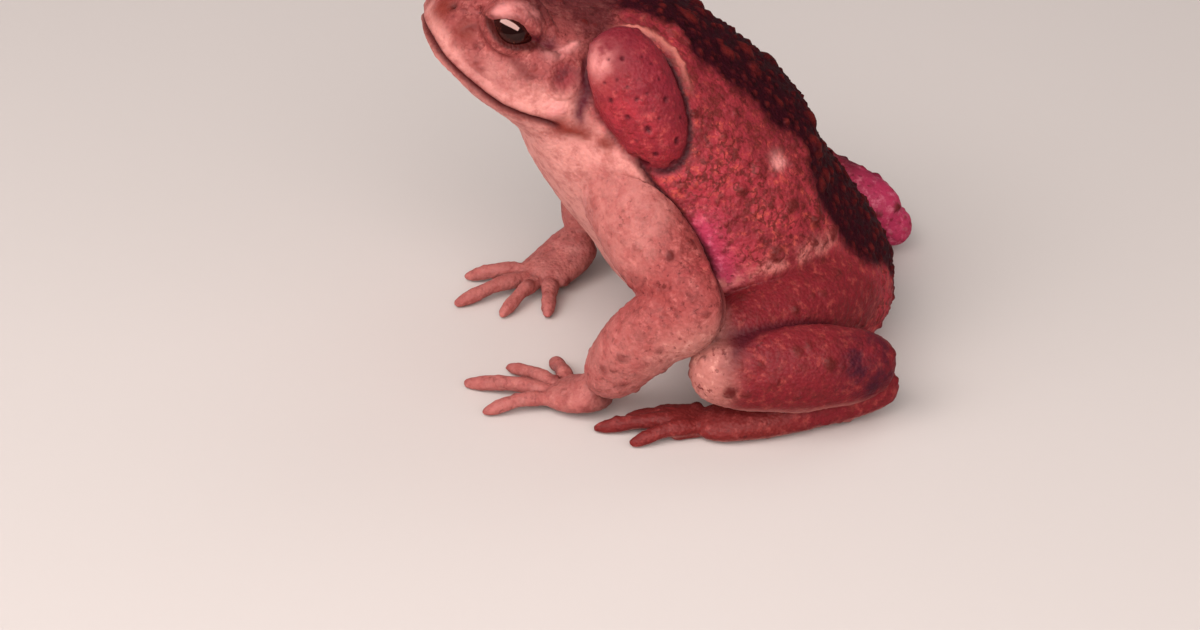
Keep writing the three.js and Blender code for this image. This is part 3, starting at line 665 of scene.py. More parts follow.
def large_warts():
    """All the large warts of the body and then of the limbs, left before right."""
    draw = draws()
    last = len(STATIONS) - 1
    made = []
    for (start, end), *rest in BODY_WARTS:
        made += warts_on(body_points, ((start / last, end / last), *rest), draw)
    for side in (1, -1):
        for name, zone in LIMB_WARTS.items():
            points = joint_points(side, name)
            made += warts_on(
                lambda t, angle: tube_points(t, angle, points, *LIMB_SIZES[name]), zone, draw, side
            )
    return made


def wart_dome(point, out, radius):
    """A low dome: a flat ball whose middle lies 0.15 of its height below the skin."""
    up = (0, 0, 1) if abs(out[2]) < 0.9 else (0, 1, 0)
    height = WART_HEIGHT * radius
    return ball(point - 0.15 * height * out, (radius, radius, 1.15 * height), out, up, rings=12, sides=20)


# Joining and finishing the skin

def mesh_of(name, points, faces):
    """A mesh from arrays of points and of equal faces."""
    mesh = bpy.data.meshes.new(name)
    mesh.vertices.add(len(points))
    mesh.vertices.foreach_set("co", np.asarray(points, np.float32).ravel())
    corners = faces.shape[1]
    mesh.loops.add(faces.size)
    mesh.loops.foreach_set("vertex_index", faces.astype(np.int32).ravel())
    mesh.polygons.add(len(faces))
    mesh.polygons.foreach_set("loop_start", np.arange(0, faces.size, corners, dtype=np.int32))
    mesh.update(calc_edges=True)
    return mesh


def finished(mesh, kind, **settings):
    """A mesh after one modifier, on a working object that is then removed."""
    shown = bpy.data.objects.new("working", mesh)
    bpy.context.scene.collection.objects.link(shown)
    modifier = shown.modifiers.new(kind, kind)
    for key, value in settings.items():
        setattr(modifier, key, value)
    graph = bpy.context.evaluated_depsgraph_get()
    made = bpy.data.meshes.new_from_object(shown.evaluated_get(graph))
    bpy.data.objects.remove(shown)
    return made


def rows_of(items, name, size, kind=np.float32):
    """One property of a mesh's items as an array, a row of that size for each."""
    values = np.empty(len(items) * size, kind)
    items.foreach_get(name, values)
    return values.reshape(-1, size)


def points_of(mesh):
    """The places of a mesh's points."""
    return rows_of(mesh.vertices, "co", 3).astype(float)


def facing_of(mesh):
    """The way a mesh faces at each of its points."""
    return rows_of(mesh.vertex_normals, "vector", 3).astype(float)


def store_shares(mesh, shares):
    """Stores shares at a mesh's points, each under its name, for the materials to read."""
    for name, share in shares.items():
        mesh.attributes.new(name, "FLOAT", "POINT").data.foreach_set("value", share.astype(np.float32))


def move(mesh, points):
    """Puts a mesh's points at new places."""
    mesh.vertices.foreach_set("co", points.astype(np.float32).ravel())
    mesh.update()


def around(values, edges):
    """At each point the mean of the values at its neighbours, column by column."""
    a, b = edges.T
    size = len(values)
    count = np.bincount(a, minlength=size) + np.bincount(b, minlength=size)
    sums = [np.bincount(a, v[b], size) + np.bincount(b, v[a], size) for v in values.T]
    return np.stack(sums, 1) / count[:, None]


def soften(values, edges, weight, rounds):
    """Each round draws every point's values towards the mean of its neighbours by its weight."""
    for _ in range(rounds):
        values = values + (around(values, edges) - values) * weight[:, None]
    return values


def hollows(points, facing, edges):
    """Shares from 0 to 1 that mark creases: how far each point lies below the mean of its neighbours,
    spread by softening as far as 2.6 mm, over what counts as full, less a quarter, which leaves out the
    gentle hollows."""
    depth = ((around(points, edges) - points) * facing).sum(1, keepdims=True)
    depth = soften(np.maximum(depth, 0), edges, np.full(len(points), 0.8), round(2.6 / VOXEL))
    return np.clip(depth[:, 0] / (HOLLOW * VOXEL) - 0.25, 0, 1)


def wrapped(points, track, sizes, stations=24):
    """How far out from a limb's line each point lies, over the limb's size there: about 1 on its skin. It
    is the least over even stations of the line, and at most 9."""
    t = np.linspace(0, 1, stations)
    nearest = np.full(len(points), 9.0**2)
    for centre, size in zip(through(track, t), through(sizes, t)):
        nearest = np.minimum(nearest, ((points - centre) ** 2).sum(1) / size**2)
    return np.sqrt(nearest)


def near(points, centre, radius):
    """1 up to 0.4 of the radius from a centre, falling by a soft step to 0 at the radius."""
    return 1 - step(0.4 * radius, radius, np.linalg.norm(points - centre, axis=1))


SOFT_JOINTS = [  # a limb's line, which of its points, how far off it on the left side, and the radius
    ("upper_arm", 0, (8, -8, -3), 13),
    ("upper_arm", 2, (0, 0, 0), 13),
    ("forearm", 2, (0, 0, 0), 8),
    ("thigh", 1, (-2, 12, 10), 9),
    ("thigh", 2, (0, -4, -3), 8),
    ("sole", 0, (0, 0, 0), 8),
]


def joint_softness(points):
    """How much each point is smoothed: fully at the shoulders, elbows, wrists, hips, knees and ankles."""
    weight = np.zeros(len(points))
    for side in (1, -1):
        for name, i, off, radius in SOFT_JOINTS:
            centre = joint_points(side, name)[i] + np.array(off) * (side, 1, 1)
            weight = np.maximum(weight, near(points, centre, radius))
    forward, height = head_place(points)
    on_head = step(-1, 3, forward) * step(-3, 0, height)
    return weight * (1 - on_head)


def eye_frame(points, side):
    """Points as seen from an eye's centre: how far from it, the direction, the share m of the way out to
    the lids' edge, and 1 or -1 for above or below. The edge is an almond, where |y| / m + (x / m)^2 = 1
    for x along the opening and y across it."""
    centre, out = eye_centre(side), eye_out(side)
    right, above = axes_for(out, HEAD_UP)
    away = points - centre
    far = np.linalg.norm(away, axis=1)
    way = away / np.maximum(far, 1e-6)[:, None]
    facing = way @ out
    rim = math.hypot(LID["depth"], LID["long"])
    x = (way @ right) * rim / EYE_OPENING["long"]
    y = (way @ above) * rim
    y = y / np.where(y > 0, EYE_OPENING["above"], EYE_OPENING["below"])
    share = (np.abs(y) + np.sqrt(y * y + 4 * x * x)) / 2
    return far, way, np.where(facing > 0, share, 9), np.sign(y)


def open_lids(points):
    """Skin inside the lids' edge is drawn in to EYE_CLEARANCE below the eyeball's surface, by a soft step
    over the edge, so that the eye shows between the lids."""
    for side in (1, -1):
        far, way, share, _ = eye_frame(points, side)
        inside = (1 - step(0.85, 1.08, share)) * (far < 11)
        sunk = np.minimum(far, EYE["radius"] - EYE_CLEARANCE)
        reach = far + (sunk - far) * inside
        points = np.where((inside > 0)[:, None], eye_centre(side) + way * reach[:, None], points)
    return points


def gland_share(points, side):
    """How far out from a gland's middle a point lies, 1 being on its surface, how far to its rear, and
    how far, x, towards its lower end. The part across it is divided by 1 - swell * x. The surface is
    fuller than a ball's: where the cosine with its axis is c it lies out by the root of
    c^2 + (1 - c^2)^fullness."""
    long, across, out = gland_axes(side)
    away = points - np.array(GLAND["centre"]) * (side, 1, 1)
    x, y, z = away @ long / GLAND["long"], away @ across / GLAND["across"], away @ out / GLAND["out"]
    y = y / (1 - GLAND["swell"] * np.clip(x, -1, 1))
    far = np.sqrt(x * x + y * y + z * z)
    c = x / np.maximum(far, 1e-6)
    full = np.sqrt(c * c + (1 - c * c) ** GLAND["fullness"])
    return far / full, y * np.sign(across[1]), x


TRUNK_LINE = np.array([(-16.0, 62.0), (38.0, 14.0)])  # the trunk's middle in (y, z), from neck to vent


def trunk_place(points):
    """Along the trunk from the neck, and how far a point lies to the belly's side of its middle line."""
    start, end = TRUNK_LINE
    way = unit(end - start)
    away = points[:, 1:] - start
    return away @ way, away @ np.array([way[1], -way[0]])


GIRTHS = {  # the mean half sizes along each limb, by the kind of skin it has
    "arm": [("upper_arm", [9, 8.7, 7.4]), ("forearm", [7.6, 7.6, 5.4])],
    "leg": [("thigh", [11, 10.8, 7.8]), ("shank", [7, 8.8, 6.8]), ("sole", [6, 5.6, 5.2, 4.8])],
}


def add_share(shares, name, share):
    """Adds a share to those of its name: where they meet, the larger counts."""
    shares[name] = np.maximum(shares.get(name, 0), share)


def on_limbs(points):
    """Shares from 0 to 1 that mark the arms, hind legs, knees, hands and feet, a painted highlight on the
    skin just above a thigh, painted shade in the cleft between thigh and shank, the patch on the shank near
    the ankle, and painted light that makes the far heel brighter and pinker.
    They step off with the distance from a limb's line over its size, or from a middle."""
    shares = {}
    for side in (1, -1):
        out = {}
        for name, tubes in GIRTHS.items():
            for tube, sizes in tubes:
                out[tube] = wrapped(points, joint_points(side, tube), sizes)
                add_share(shares, name, 1 - step(1.05, 1.25, out[tube]))
        # painted highlight along the skin just above the thigh
        add_share(shares, "lit_above_thigh", bell(out["thigh"] - 1.32, 0.2) * step(20, 26, points[:, 2]))
        by_thigh, by_shank = (1 - step(1.02, 1.28, out[tube]) for tube in ("thigh", "shank"))
        # painted shade in the cleft between thigh and shank
        add_share(shares, "cleft_shade", by_thigh * by_shank)
        shank = joint_points(side, "shank")
        back = (points - shank[0]) @ unit(shank[1] - shank[0])
        add_share(shares, "knee", near(points, shank[0] + (side * 3, 2.5, 2), 15) * (1 - step(3, 11, back)))
        add_share(shares, "patch", near(points, through(shank, 0.85) + (side * 6, 0, 3), 11))
    outside = step(20, 30, np.abs(points[:, 0]))
    shares = {name: share * outside for name, share in shares.items()}
    low = 1 - step(6, 10, points[:, 2])
    for side in (1, -1):
        far_hand = np.linalg.norm(points - joint_points(side, "palm")[2] - (-side * 3, -5.5, 0), axis=1)
        far_foot = np.linalg.norm(points - joint_points(side, "sole")[3] - (side * 2.5, -9, 0), axis=1)
        nearer_foot = step(-2, 4, far_hand - far_foot)
        add_share(shares, "hand", (1 - step(24, 36, far_hand)) * low * (1 - nearer_foot))
        add_share(shares, "foot", (1 - step(24, 36, far_foot)) * low * nearer_foot)
    # painted light: the far heel is made brighter and pinker than the rest of the leg
    shares["lit_far_heel"] = near(points, joint_points(-1, "shank")[2], 24)
    return shares


def from_track(points, track):
    """How far each point lies from a track of straight pieces."""
    nearest = np.full(len(points), 99.0)
    for start, end in zip(track, track[1:] or track):
        way = np.subtract(end, start).astype(float)
        share = np.clip((points - start) @ way / max(way @ way, 1e-9), 0, 1)
        nearest = np.minimum(nearest, np.linalg.norm(points - start - share[:, None] * way, axis=1))
    return nearest


def skin_marks(points):
    """The shares of the marks by name: each falls off from its track as a bell, and where two of a kind
    meet the stronger counts. A little noise in the places frays their edges."""
    frayed = points + 0.7 * np.stack([noise(points, 2.6, seed) for seed in (21, 22, 23)], 1)
    frayed[:, 0] = np.abs(frayed[:, 0])
    return {
        name: np.max([bell(from_track(frayed, track), width) for track, width in tracks], axis=0)
        for name, tracks in MARKS.items()
    }


def arm_crease(points):
    """How far behind the crease along an upper arm's back edge a point lies, and how much it counts there."""
    across, _, z = np.abs(points.T)
    line = np.interp(z, ARM_CREASE[:, 1], ARM_CREASE[:, 0]) + np.where(points[:, 0] < 0, FAR_ARM_BACK, 0)
    counts = step(19, 26, across) * step(23, 31, z) * (1 - step(57, 63, z))
    return points[:, 1] - line, counts


def face_forms(points, wander):
    """Shares that mark the eardrums, which are ovals whose edges wander, the pits of the nostrils, which
    are bells, the dark edges of the lids, and two folds round each eye with painted shade in them. Both are
    fainter above the eye than below, which is painted shade under the eye."""
    at = {}
    for side in (1, -1):
        centre, out = cheek(side, EARDRUM["forward"], EARDRUM["height"])
        right, above = axes_for(out, HEAD_UP)
        away = points - centre
        oval = np.hypot(away @ right / EARDRUM["long"], away @ above / EARDRUM["tall"])
        oval = np.where(np.abs(away @ out) < 4, oval, 9) + 0.07 * wander
        add_share(at, "drum", 1 - step(0.3, 1.2, oval))
        centre, out = cheek(side, NOSTRIL["forward"], NOSTRIL["height"])
        add_share(at, "pit", bell(np.linalg.norm(points - centre - out * 0.4, axis=1), NOSTRIL["pit"]))
        far, _, share, half = eye_frame(points, side)
        # weaker above the eye than below: painted shade under the eye on the lids' dark edge and the folds
        close = (far < 12) * (1 - 0.4 * (half + 1))
        add_share(at, "rim", (1 - step(1.05, 1.3, share)) * close)
        add_share(at, "fold_shade", (bell(share - 1.62, 0.08) + 0.7 * bell(share - 2.05, 0.1)) * close)
    return at


def gland_forms(points, wander, off_arm):
    """Shares that mark the glands, painted shade on their upper rear, the seam round each with a painted
    shadow in it, strongest behind it, and the pale ridge a third of its size behind it: steps and a bell of
    gland_share's values."""
    sides = [gland_share(points, side) for side in (1, -1)]
    inner = np.minimum(*[share for share, _, _ in sides])
    behind, down = (np.where(points[:, 0] > 0, sides[0][i], sides[1][i]) for i in (1, 2))
    gland = 1 - step(0.97, 1.03, inner)
    round_it = step(0.99, 1.05, inner) * (1 - step(1.1, 1.17, inner)) * off_arm
    behind_it = step(0.1, 0.6, behind) * (1 - step(-0.3, 0.5, down))
    return {
        "gland": gland,
        "gland_top_shade": 0.8 * gland * step(-0.5, 0.5, behind - 0.7 * down),
        # painted shadow in the seam round the gland, strongest behind and below it
        "seam_shade": round_it * (0.35 + 0.65 * step(-0.5, 0.3, behind + 0.5 * down)),
        "ridge": bell(inner - 1.32 - 0.03 * wander, 0.1) * behind_it,
    }


def regions(points, facing):
    """Where each kind of skin lies, as shares from 0 to 1 by name. An edge between two kinds is a soft
    step of the distance past it, and a sum of three noises makes it wander."""
    forward, height = head_place(points)
    along, below = trunk_place(points)
    lift = height - mouth_height(forward)
    across = np.abs(points[:, 0])
    wander = 2.2 * noise(points, 9, 3) + 1.4 * noise(points, 3.5, 4) + 0.7 * noise(points, 1.6, 6)
    at = on_limbs(points)
    off_arm, off_leg = 1 - at["arm"], 1 - at["leg"]
    on_head = step(-4, 1, forward) * step(-16, -12, height)
    trunk = (1 - on_head) * off_arm * off_leg * (1 - at["hand"]) * (1 - at["foot"])
    gap, counts = arm_crease(points)

    # Pale skin: the chest, the skin before the arm's crease, the lower face, and what faces down
    chest = step(-1, 7, below - np.interp(along, CHEST_EDGE[:, 0], CHEST_EDGE[:, 1]) + wander)
    front = (1 - step(-1, 0.4, gap)) * (1 - step(13, 22, along))
    chest = np.maximum(chest, 0.95 * step(-3, 1.5, below + 0.5 * wander) * front)
    face_edge = np.interp(forward, FACE_EDGE[:, 0], FACE_EDGE[:, 1])
    pale_face = 1 - step(0, 5.5, lift - face_edge + wander)
    pale = on_head * pale_face + trunk * chest + 0.45 * at["arm"] * chest * (1 - step(14, 22, along))
    underside = step(0.45, 0.85, -facing[:, 2])
    elbow = 0.35 * at["arm"] * (1 - step(20, 38, points[:, 2]))
    pale = np.maximum.reduce([pale, 0.6 * underside, 0.3 * at["hand"], elbow])

    # Dark skin and painted shade: the band along the back, which is painted shade of the back turned from the
    # light, the darker crown, and painted shade on the flank beside the band
    past_band = across - np.interp(along, BAND_EDGE[:, 0], BAND_EDGE[:, 1])
    frayed = past_band + 0.8 * wander + 1.6 * noise(points, 6, 12)
    band = (1 - step(-2, 1.8, frayed)) * step(0, 6, -below)
    crown = 0.7 * on_head * step(14, 19, height + 0.6 * wander)
    # painted shade on the flank, fading out from the dark band along the back
    shade_beside_band = 0.85 * trunk * (1 - step(1, 14, past_band)) * (1 - step(26, 40, along))

    at.update(skin_marks(points))
    at.update(face_forms(points, wander))
    at.update(gland_forms(points, wander, off_arm))
    at["cleft_shade"] = at["cleft_shade"] * (1 - at["knee"])
    at["groin"] *= step(-0.6, 0.8, gap) * (1 - step(0.5, 0.9, at["leg"]))
    paw = np.maximum(at["hand"], at["foot"])
    plainer = 0.4 * on_head + 0.6 * at["arm"] + 0.85 * at["knee"] + 0.5 * at["leg"] + 0.6 * paw + at["groin"]
    mouth = step(1, 4, forward) * off_arm
    low = 1 - step(30, 50, points[:, 2])
    at.update({
        "all": np.ones(len(points)),
        "pale": np.clip(pale, 0, 1),
        "back": np.clip(band * (1 - on_head) + crown, 0, 1),
        "head": on_head,
        "shade_beside_band": shade_beside_band,
        "mottled": np.clip(1 - plainer - 0.5 * at["lit_above_thigh"], 0, 1),
        # the mouth's line, darkened with a painted shadow under the overhanging upper lip; lip is a wider
        # band of that painted shade
        "mouth": bell(lift + 0.15, 0.65) * mouth,
        "lip": bell(lift + 0.2, 1.3) * mouth,
        # painted shade: the dark line of shadow in the crease along the arm's back edge
        "crease_shade": bell(gap, 0.75 + 0.6 * low) * counts,
        "shoulder": step(-12, -1.5, gap) * (1 - step(-1.2, 0.2, gap)) * counts,
    })
    return at


def scatter(points, density, sizes, spacing, tries, rng):
    """Places for round forms: points drawn by density, each kept if it lies clear of those already kept
    by the sum of their sizes times the spacing."""
    drawn = rng.choice(len(points), tries, p=density / density.sum())
    radii = rng.uniform(*sizes, tries)
    kept = np.empty((0, 3))
    kept_radii = np.empty(0)
    for i, radius in zip(drawn, radii):
        gap = np.linalg.norm(kept - points[i], axis=1)
        if np.all(gap > (kept_radii + radius) * spacing):
            kept = np.vstack([kept, points[i]])
            kept_radii = np.append(kept_radii, radius)
    return kept, kept_radii


def domes(points, places, radii):
    """The height of the tallest dome over each point: the radius times the power 1.5 of
    1 - (distance / radius)^2. Points sorted by their level let each dome look only at those near it."""
    height = np.zeros(len(points))
    order = np.argsort(points[:, 2])
    level = points[order, 2]
    for place, radius in zip(places, radii):
        low, high = np.searchsorted(level, (place[2] - radius, place[2] + radius))
        some = order[low:high]
        share = ((points[some] - place) ** 2).sum(1) / radius**2
        height[some] = np.maximum(height[some], np.clip(1 - share, 0, 1) ** 1.5 * radius)
    return height


# Scattered forms: the least and greatest radius, the spacing over two radii, and how many are tried
BIG_WARTS = ((0.9, 1.6), 1.2, 600)
SMALL_WARTS = ((0.5, 0.95), 1.1, 4500)
PORES = ((0.45, 1.15), 2, 190)
NOWHERE = 1e-9  # a density so low that nothing is drawn there

RELIEF = {  # how far the middle of each form stands out of the skin, or is sunk into it
    "ridge": 0.8, "shoulder": 1.3, "bump": 0.8,
    "pit": -1.6, "fold_shade": -0.2, "mouth": -0.75, "drum": -0.3, "seam_shade": -0.4, "crease_shade": -0.7, "dark": -0.4,
    "cleft_shade": -0.3,
}


def texture_skin(points, facing, hollow, warts):
    """Small warts, granules, pores, wrinkles and furrows, each a height added along the way the skin
    faces: domes for the warts and pores, one minus cells for the granules, noise for the wrinkles."""
    at = regions(points, facing)
    paw = np.maximum(at["hand"], at["foot"])
    limb = np.maximum.reduce([at["arm"], at["leg"], paw])
    off_pale, on_head = 1 - at["pale"], at["head"]
    # painted shade: the hollows of the mesh darken this share too, and are sunk with it
    at["crease_shade"] = np.clip(at["crease_shade"] + 0.7 * hollow * (1 - at["gland"]) * (1 - 0.6 * on_head), 0, 1)
    bare = 1 - np.clip(at["gland"] + at["drum"] + at["rim"] + at["mouth"] + at["pit"], 0, 1)
    rough = bare * off_pale
    large = domes(points, [point for point, _, _ in warts], [1.25 * radius for _, _, radius in warts])
    bare *= 1 - np.clip(0.6 * large, 0, 0.7)
    big_density = rough * (0.1 + at["back"] + 0.1 * at["leg"]) * (1 - 0.85 * on_head) * (large < 0.05)
    small_density = rough * (0.8 + 0.3 * at["arm"]) * (1 - 0.5 * on_head) * (1 - 0.8 * paw)
    rng = np.random.default_rng(SEED)
    big = domes(points, *scatter(points, big_density + NOWHERE, *BIG_WARTS, rng))
    small = domes(points, *scatter(points, small_density + NOWHERE, *SMALL_WARTS, rng))
    pore = domes(points, *scatter(points, at["gland"] * facing[:, 0] ** 4 + NOWHERE, *PORES, rng))
    wart = 0.42 * big + 0.45 * small * (1 - 0.55 * limb)
    granule = 1 - np.clip(cells(points, 1.9, 5), 0, 1)
    fine = 1 - np.clip(cells(points, 1.2, 9), 0, 1)
    wrinkle = 1 - np.abs(noise(points * (1, 0.8, 0.5), 4.5, 11)) * 2
    height = wart * (1 - at["crease_shade"])
    height += granule * 0.3 * bare * (0.4 + 0.6 * off_pale) * (1 - 0.5 * on_head) * (1 - 0.5 * limb)
    height += fine * 0.16 * bare
    height += 0.15 * np.clip(wrinkle, 0, 1) * rough * (1 - 0.7 * on_head)
    height += 0.22 * noise(points, 6, 2) * bare
    height += at["gland"] * 0.35 * noise(points, 3.4, 8) - pore * 0.5
    for name, rise in RELIEF.items():
        height += rise * at[name]
    at["wart"] = np.clip(wart * 2 + large, 0, 1) * off_pale * (1 - at["gland"])
    at["pore"] = np.clip(pore * 1.8, 0, 1)
    # painted shade in the furrows between granules
    at["furrow_shade"] = np.clip(1 - granule * 1.6, 0, 1) * rough
    return points + facing * height[:, None], at


def skin_mesh():
    """All the flesh as one surface: its closed forms are fused by a voxel remesh, softened, most of all at
    the joints, opened at the eyes, textured, and thinned to SKIN_TRIANGLES."""
    parts = [body(), *[lip(*sizes) for sizes in LIPS]]
    for side in (1, -1):
        parts += [*lids(side), crest(side), nostril(side), drum_rim(side), gland(side)]
        parts += [*limbs(side), *paw(side, "palm"), *paw(side, "sole")]
    warts = large_warts()
    parts += [wart_dome(*wart) for wart in warts]
    starts = np.cumsum([0] + [len(p) for p, _ in parts[:-1]])
    points = np.vstack([p for p, _ in parts])
    triangles = np.vstack([f + s for (_, f), s in zip(parts, starts)])
    fused = finished(mesh_of("flesh", points, triangles), "REMESH", mode="VOXEL", voxel_size=VOXEL)
    edges = rows_of(fused.edges, "vertices", 2, np.int32)
    points = points_of(fused)
    points = soften(points, edges, np.full(len(points), FIRST_SOFTENING), 3)
    move(fused, points)
    hollow = hollows(points, facing_of(fused), edges)
    points = soften(points, edges, JOINT_SOFTENING * joint_softness(points), JOINT_ROUNDS)
    points = open_lids(points)
    points = soften(points, edges, np.full(len(points), LID_SOFTENING), 1)
    move(fused, points)
    points, at = texture_skin(points, facing_of(fused), hollow, warts)
    points = soften(points, edges, SEAM_SOFTENING * at["seam_shade"], 4)
    points[:, 2] = np.maximum(points[:, 2], LOWEST)
    move(fused, points)
    store_shares(fused, at)
    fused.calc_loop_triangles()
    ratio = min(1, SKIN_TRIANGLES / len(fused.loop_triangles))
    return finished(fused, "DECIMATE", ratio=ratio) if ratio < 1 else fused


def centre_of(node):
    """The middle of a CAD node's box, in metres."""
    low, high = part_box(node)
    return (np.array(low) + np.array(high)) / 2


SHIFT = centre_of("eye_left") / MM - eye_centre(1)


def place(mesh):
    """Points in millimetres in the toad's frame become metres in the shared frame."""
    move(mesh, (points_of(mesh) + SHIFT) * MM)


def show(name, mesh, material, slot, *nodes):
    """A finished piece: it rides on the part's one body and stands for the nodes named."""
    piece = bpy.data.objects.new(name, mesh)
    bpy.context.scene.collection.objects.link(piece)
    mesh.polygons.foreach_set("use_smooth", np.ones(len(mesh.polygons), bool))
    mesh.materials.clear()
    mesh.materials.append(material)
    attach(piece, "root")
    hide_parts(*nodes)


# Materials

def linear(hex_colour):
    """An sRGB hex colour as linear values: each channel by the sRGB curve."""
    channels = [int(hex_colour[i:i + 2], 16) / 255 for i in (1, 3, 5)]
    return [c / 12.92 if c <= 0.04045 else ((c + 0.055) / 1.055) ** 2.4 for c in channels] + [1.0]


def node(tree, kind, settings=None, links=None):
    """One node: settings go to its properties, or to its sockets where they are named in brackets; links
    join its sockets to outputs of other nodes. A number is a socket's place: 0, 6 and 7 are the share and
    the two colours of a Mix, 1 and 2 the ends of a Map Range's values, 3 and 4 what they become."""
    made = tree.nodes.new(kind)
    for key, value in (settings or {}).items():
        if key.startswith("["):
            key = key[1:-1]
            made.inputs[int(key) if key.isdigit() else key].default_value = value
        else:
            setattr(made, key, value)
    for key, source in (links or {}).items():
        tree.links.new(source, made.inputs[int(key) if key.isdigit() else key])
    return made


def blank(name):
    """A new material without nodes, and its tree."""
    material = bpy.data.materials.new(name)
    material.use_nodes = True
    material.node_tree.nodes.clear()
    return material, material.node_tree


# The skin's noise patterns, from its blotches of 9 mm down to specks of 1 mm: size in millimetres, detail,
# roughness, and the values at which a pattern starts and is full
SKIN_PATTERNS = {
    "blotch": (9, 5, 0.55, 0.42, 0.62),
    "cloud": (5, 4, 0.55, 0.3, 0.6),
    "patchy": (4, 4, 0.55, 0.3, 0.6),
    "faint": (3.2, 5, 0.65, 0.42, 0.66),
    "mottle": (2.4, 6, 0.7, 0.5, 0.64),
    "bright": (2, 4, 0.65, 0.5, 0.7),
    "speck": (1.1, 3, 0.55, 0.56, 0.66),
}
WAVES = {"size": 3.6, "from": 0.045, "full": 0.008}  # dark wavy lines
GRANULES = {"size": 0.85, "height": 0.35, "strength": 0.55}
DUST = {"size": 0.35, "height": 0.15, "strength": 0.4}
GLEAM = {"size": 1.6, "least": 0.45, "most": 0.7}  # roughness: moist patches among drier ones
SPECULAR = {"plain": 0.07, "back": 0.02}  # 0.5 would be the full gleam of the IOR

SKIN_BASE = "#952f38"  # under all the layers
SKIN_LAYERS = (  # in order: the share, the patterns that break it, its colour, and a second one by a pattern
    ("all", "blotch", "#7c272e"),
    ("all", "bright", "#b0483f"),
    # painted shade on the flank beside the back's band
    ("shade_beside_band", "cloud", "#641a22"),
    ("head", "", "#8a4240", "bright", "#a65e58"),
    ("groin", "", "#b23a58", "bright", "#c85c78"),
    # painted highlight just above the thigh
    ("lit_above_thigh", "patchy", "#b86c66"),
    ("arm", "", "#8c3e3c", "bright", "#a65854"),
    ("leg", "", "#6e1c23", "bright", "#903936"),
    ("hand", "", "#8e4542", "bright", "#a45f58"),
    ("foot", "", "#68201f", "bright", "#863835"),
    ("knee", "", "#a86a62", "bright", "#c48a7e"),
    ("mottled", "mottle", "#5a1b1c"),
    ("mottled", "line", "#62201f"),
    ("arm", "cloud mottle", "#74302e"),
    ("arm", "faint speck", "#62201f"),
    ("knee", "faint speck", "#7c3430"),
    # painted shade: the dark band along the back, and the darker crown
    ("back", "", "#2a0911", "mottle", "#1c060a"),
    ("pale", "", "#c6867e", "faint", "#aa6862"),
    # painted light on the far heel
    ("lit_far_heel", "", "#a02e4e", "bright", "#b85a70"),
    ("gland", "", "#90262f", "bright", "#a84248"),
    ("gland", "faint", "#74202b"),
    # painted shade on the gland's upper rear
    ("gland_top_shade", "", "#641a28"),
    ("wart", "patchy", "#541817"),
    # painted shade in the furrows between granules
    ("furrow_shade", "speck", "#4a1618"),
    ("ridge", "", "#b0665c"),
    # pale ridges and bulges, and painted highlights on the upper lid, gland and flank
    ("pale_and_highlight", "cloud", "#cc8480"),
    ("brown", "", "#702820"),
    ("drum", "", "#7a262b", "faint", "#561a20"),
    ("patch", "cloud", "#3c101e"),
    # painted shade in the cleft between thigh and shank
    ("cleft_shade", "", "#420e18"),
    # dark marks: behind the eye's rear corner, and painted shade behind the eardrum
    ("dark", "", "#4a0e1c"),
    # painted shadow in the seam round the gland
    ("seam_shade", "", "#340810"),
    # painted shade in the arm's crease and in hollows
    ("crease_shade", "", "#34080f"),
    # painted shade in the folds round the eye
    ("fold_shade", "", "#6a2c2a"),
    # the lids' dark edge, with painted shade below the eye
    ("rim", "", "#421412"),
    ("pore", "", "#480f18"),
    # painted shade round the mouth's line, and the line itself darkest
    ("lip", "", "#6a2825"),
    ("mouth", "", "#3e0f10"),
    ("pit", "", "#200908"),
)


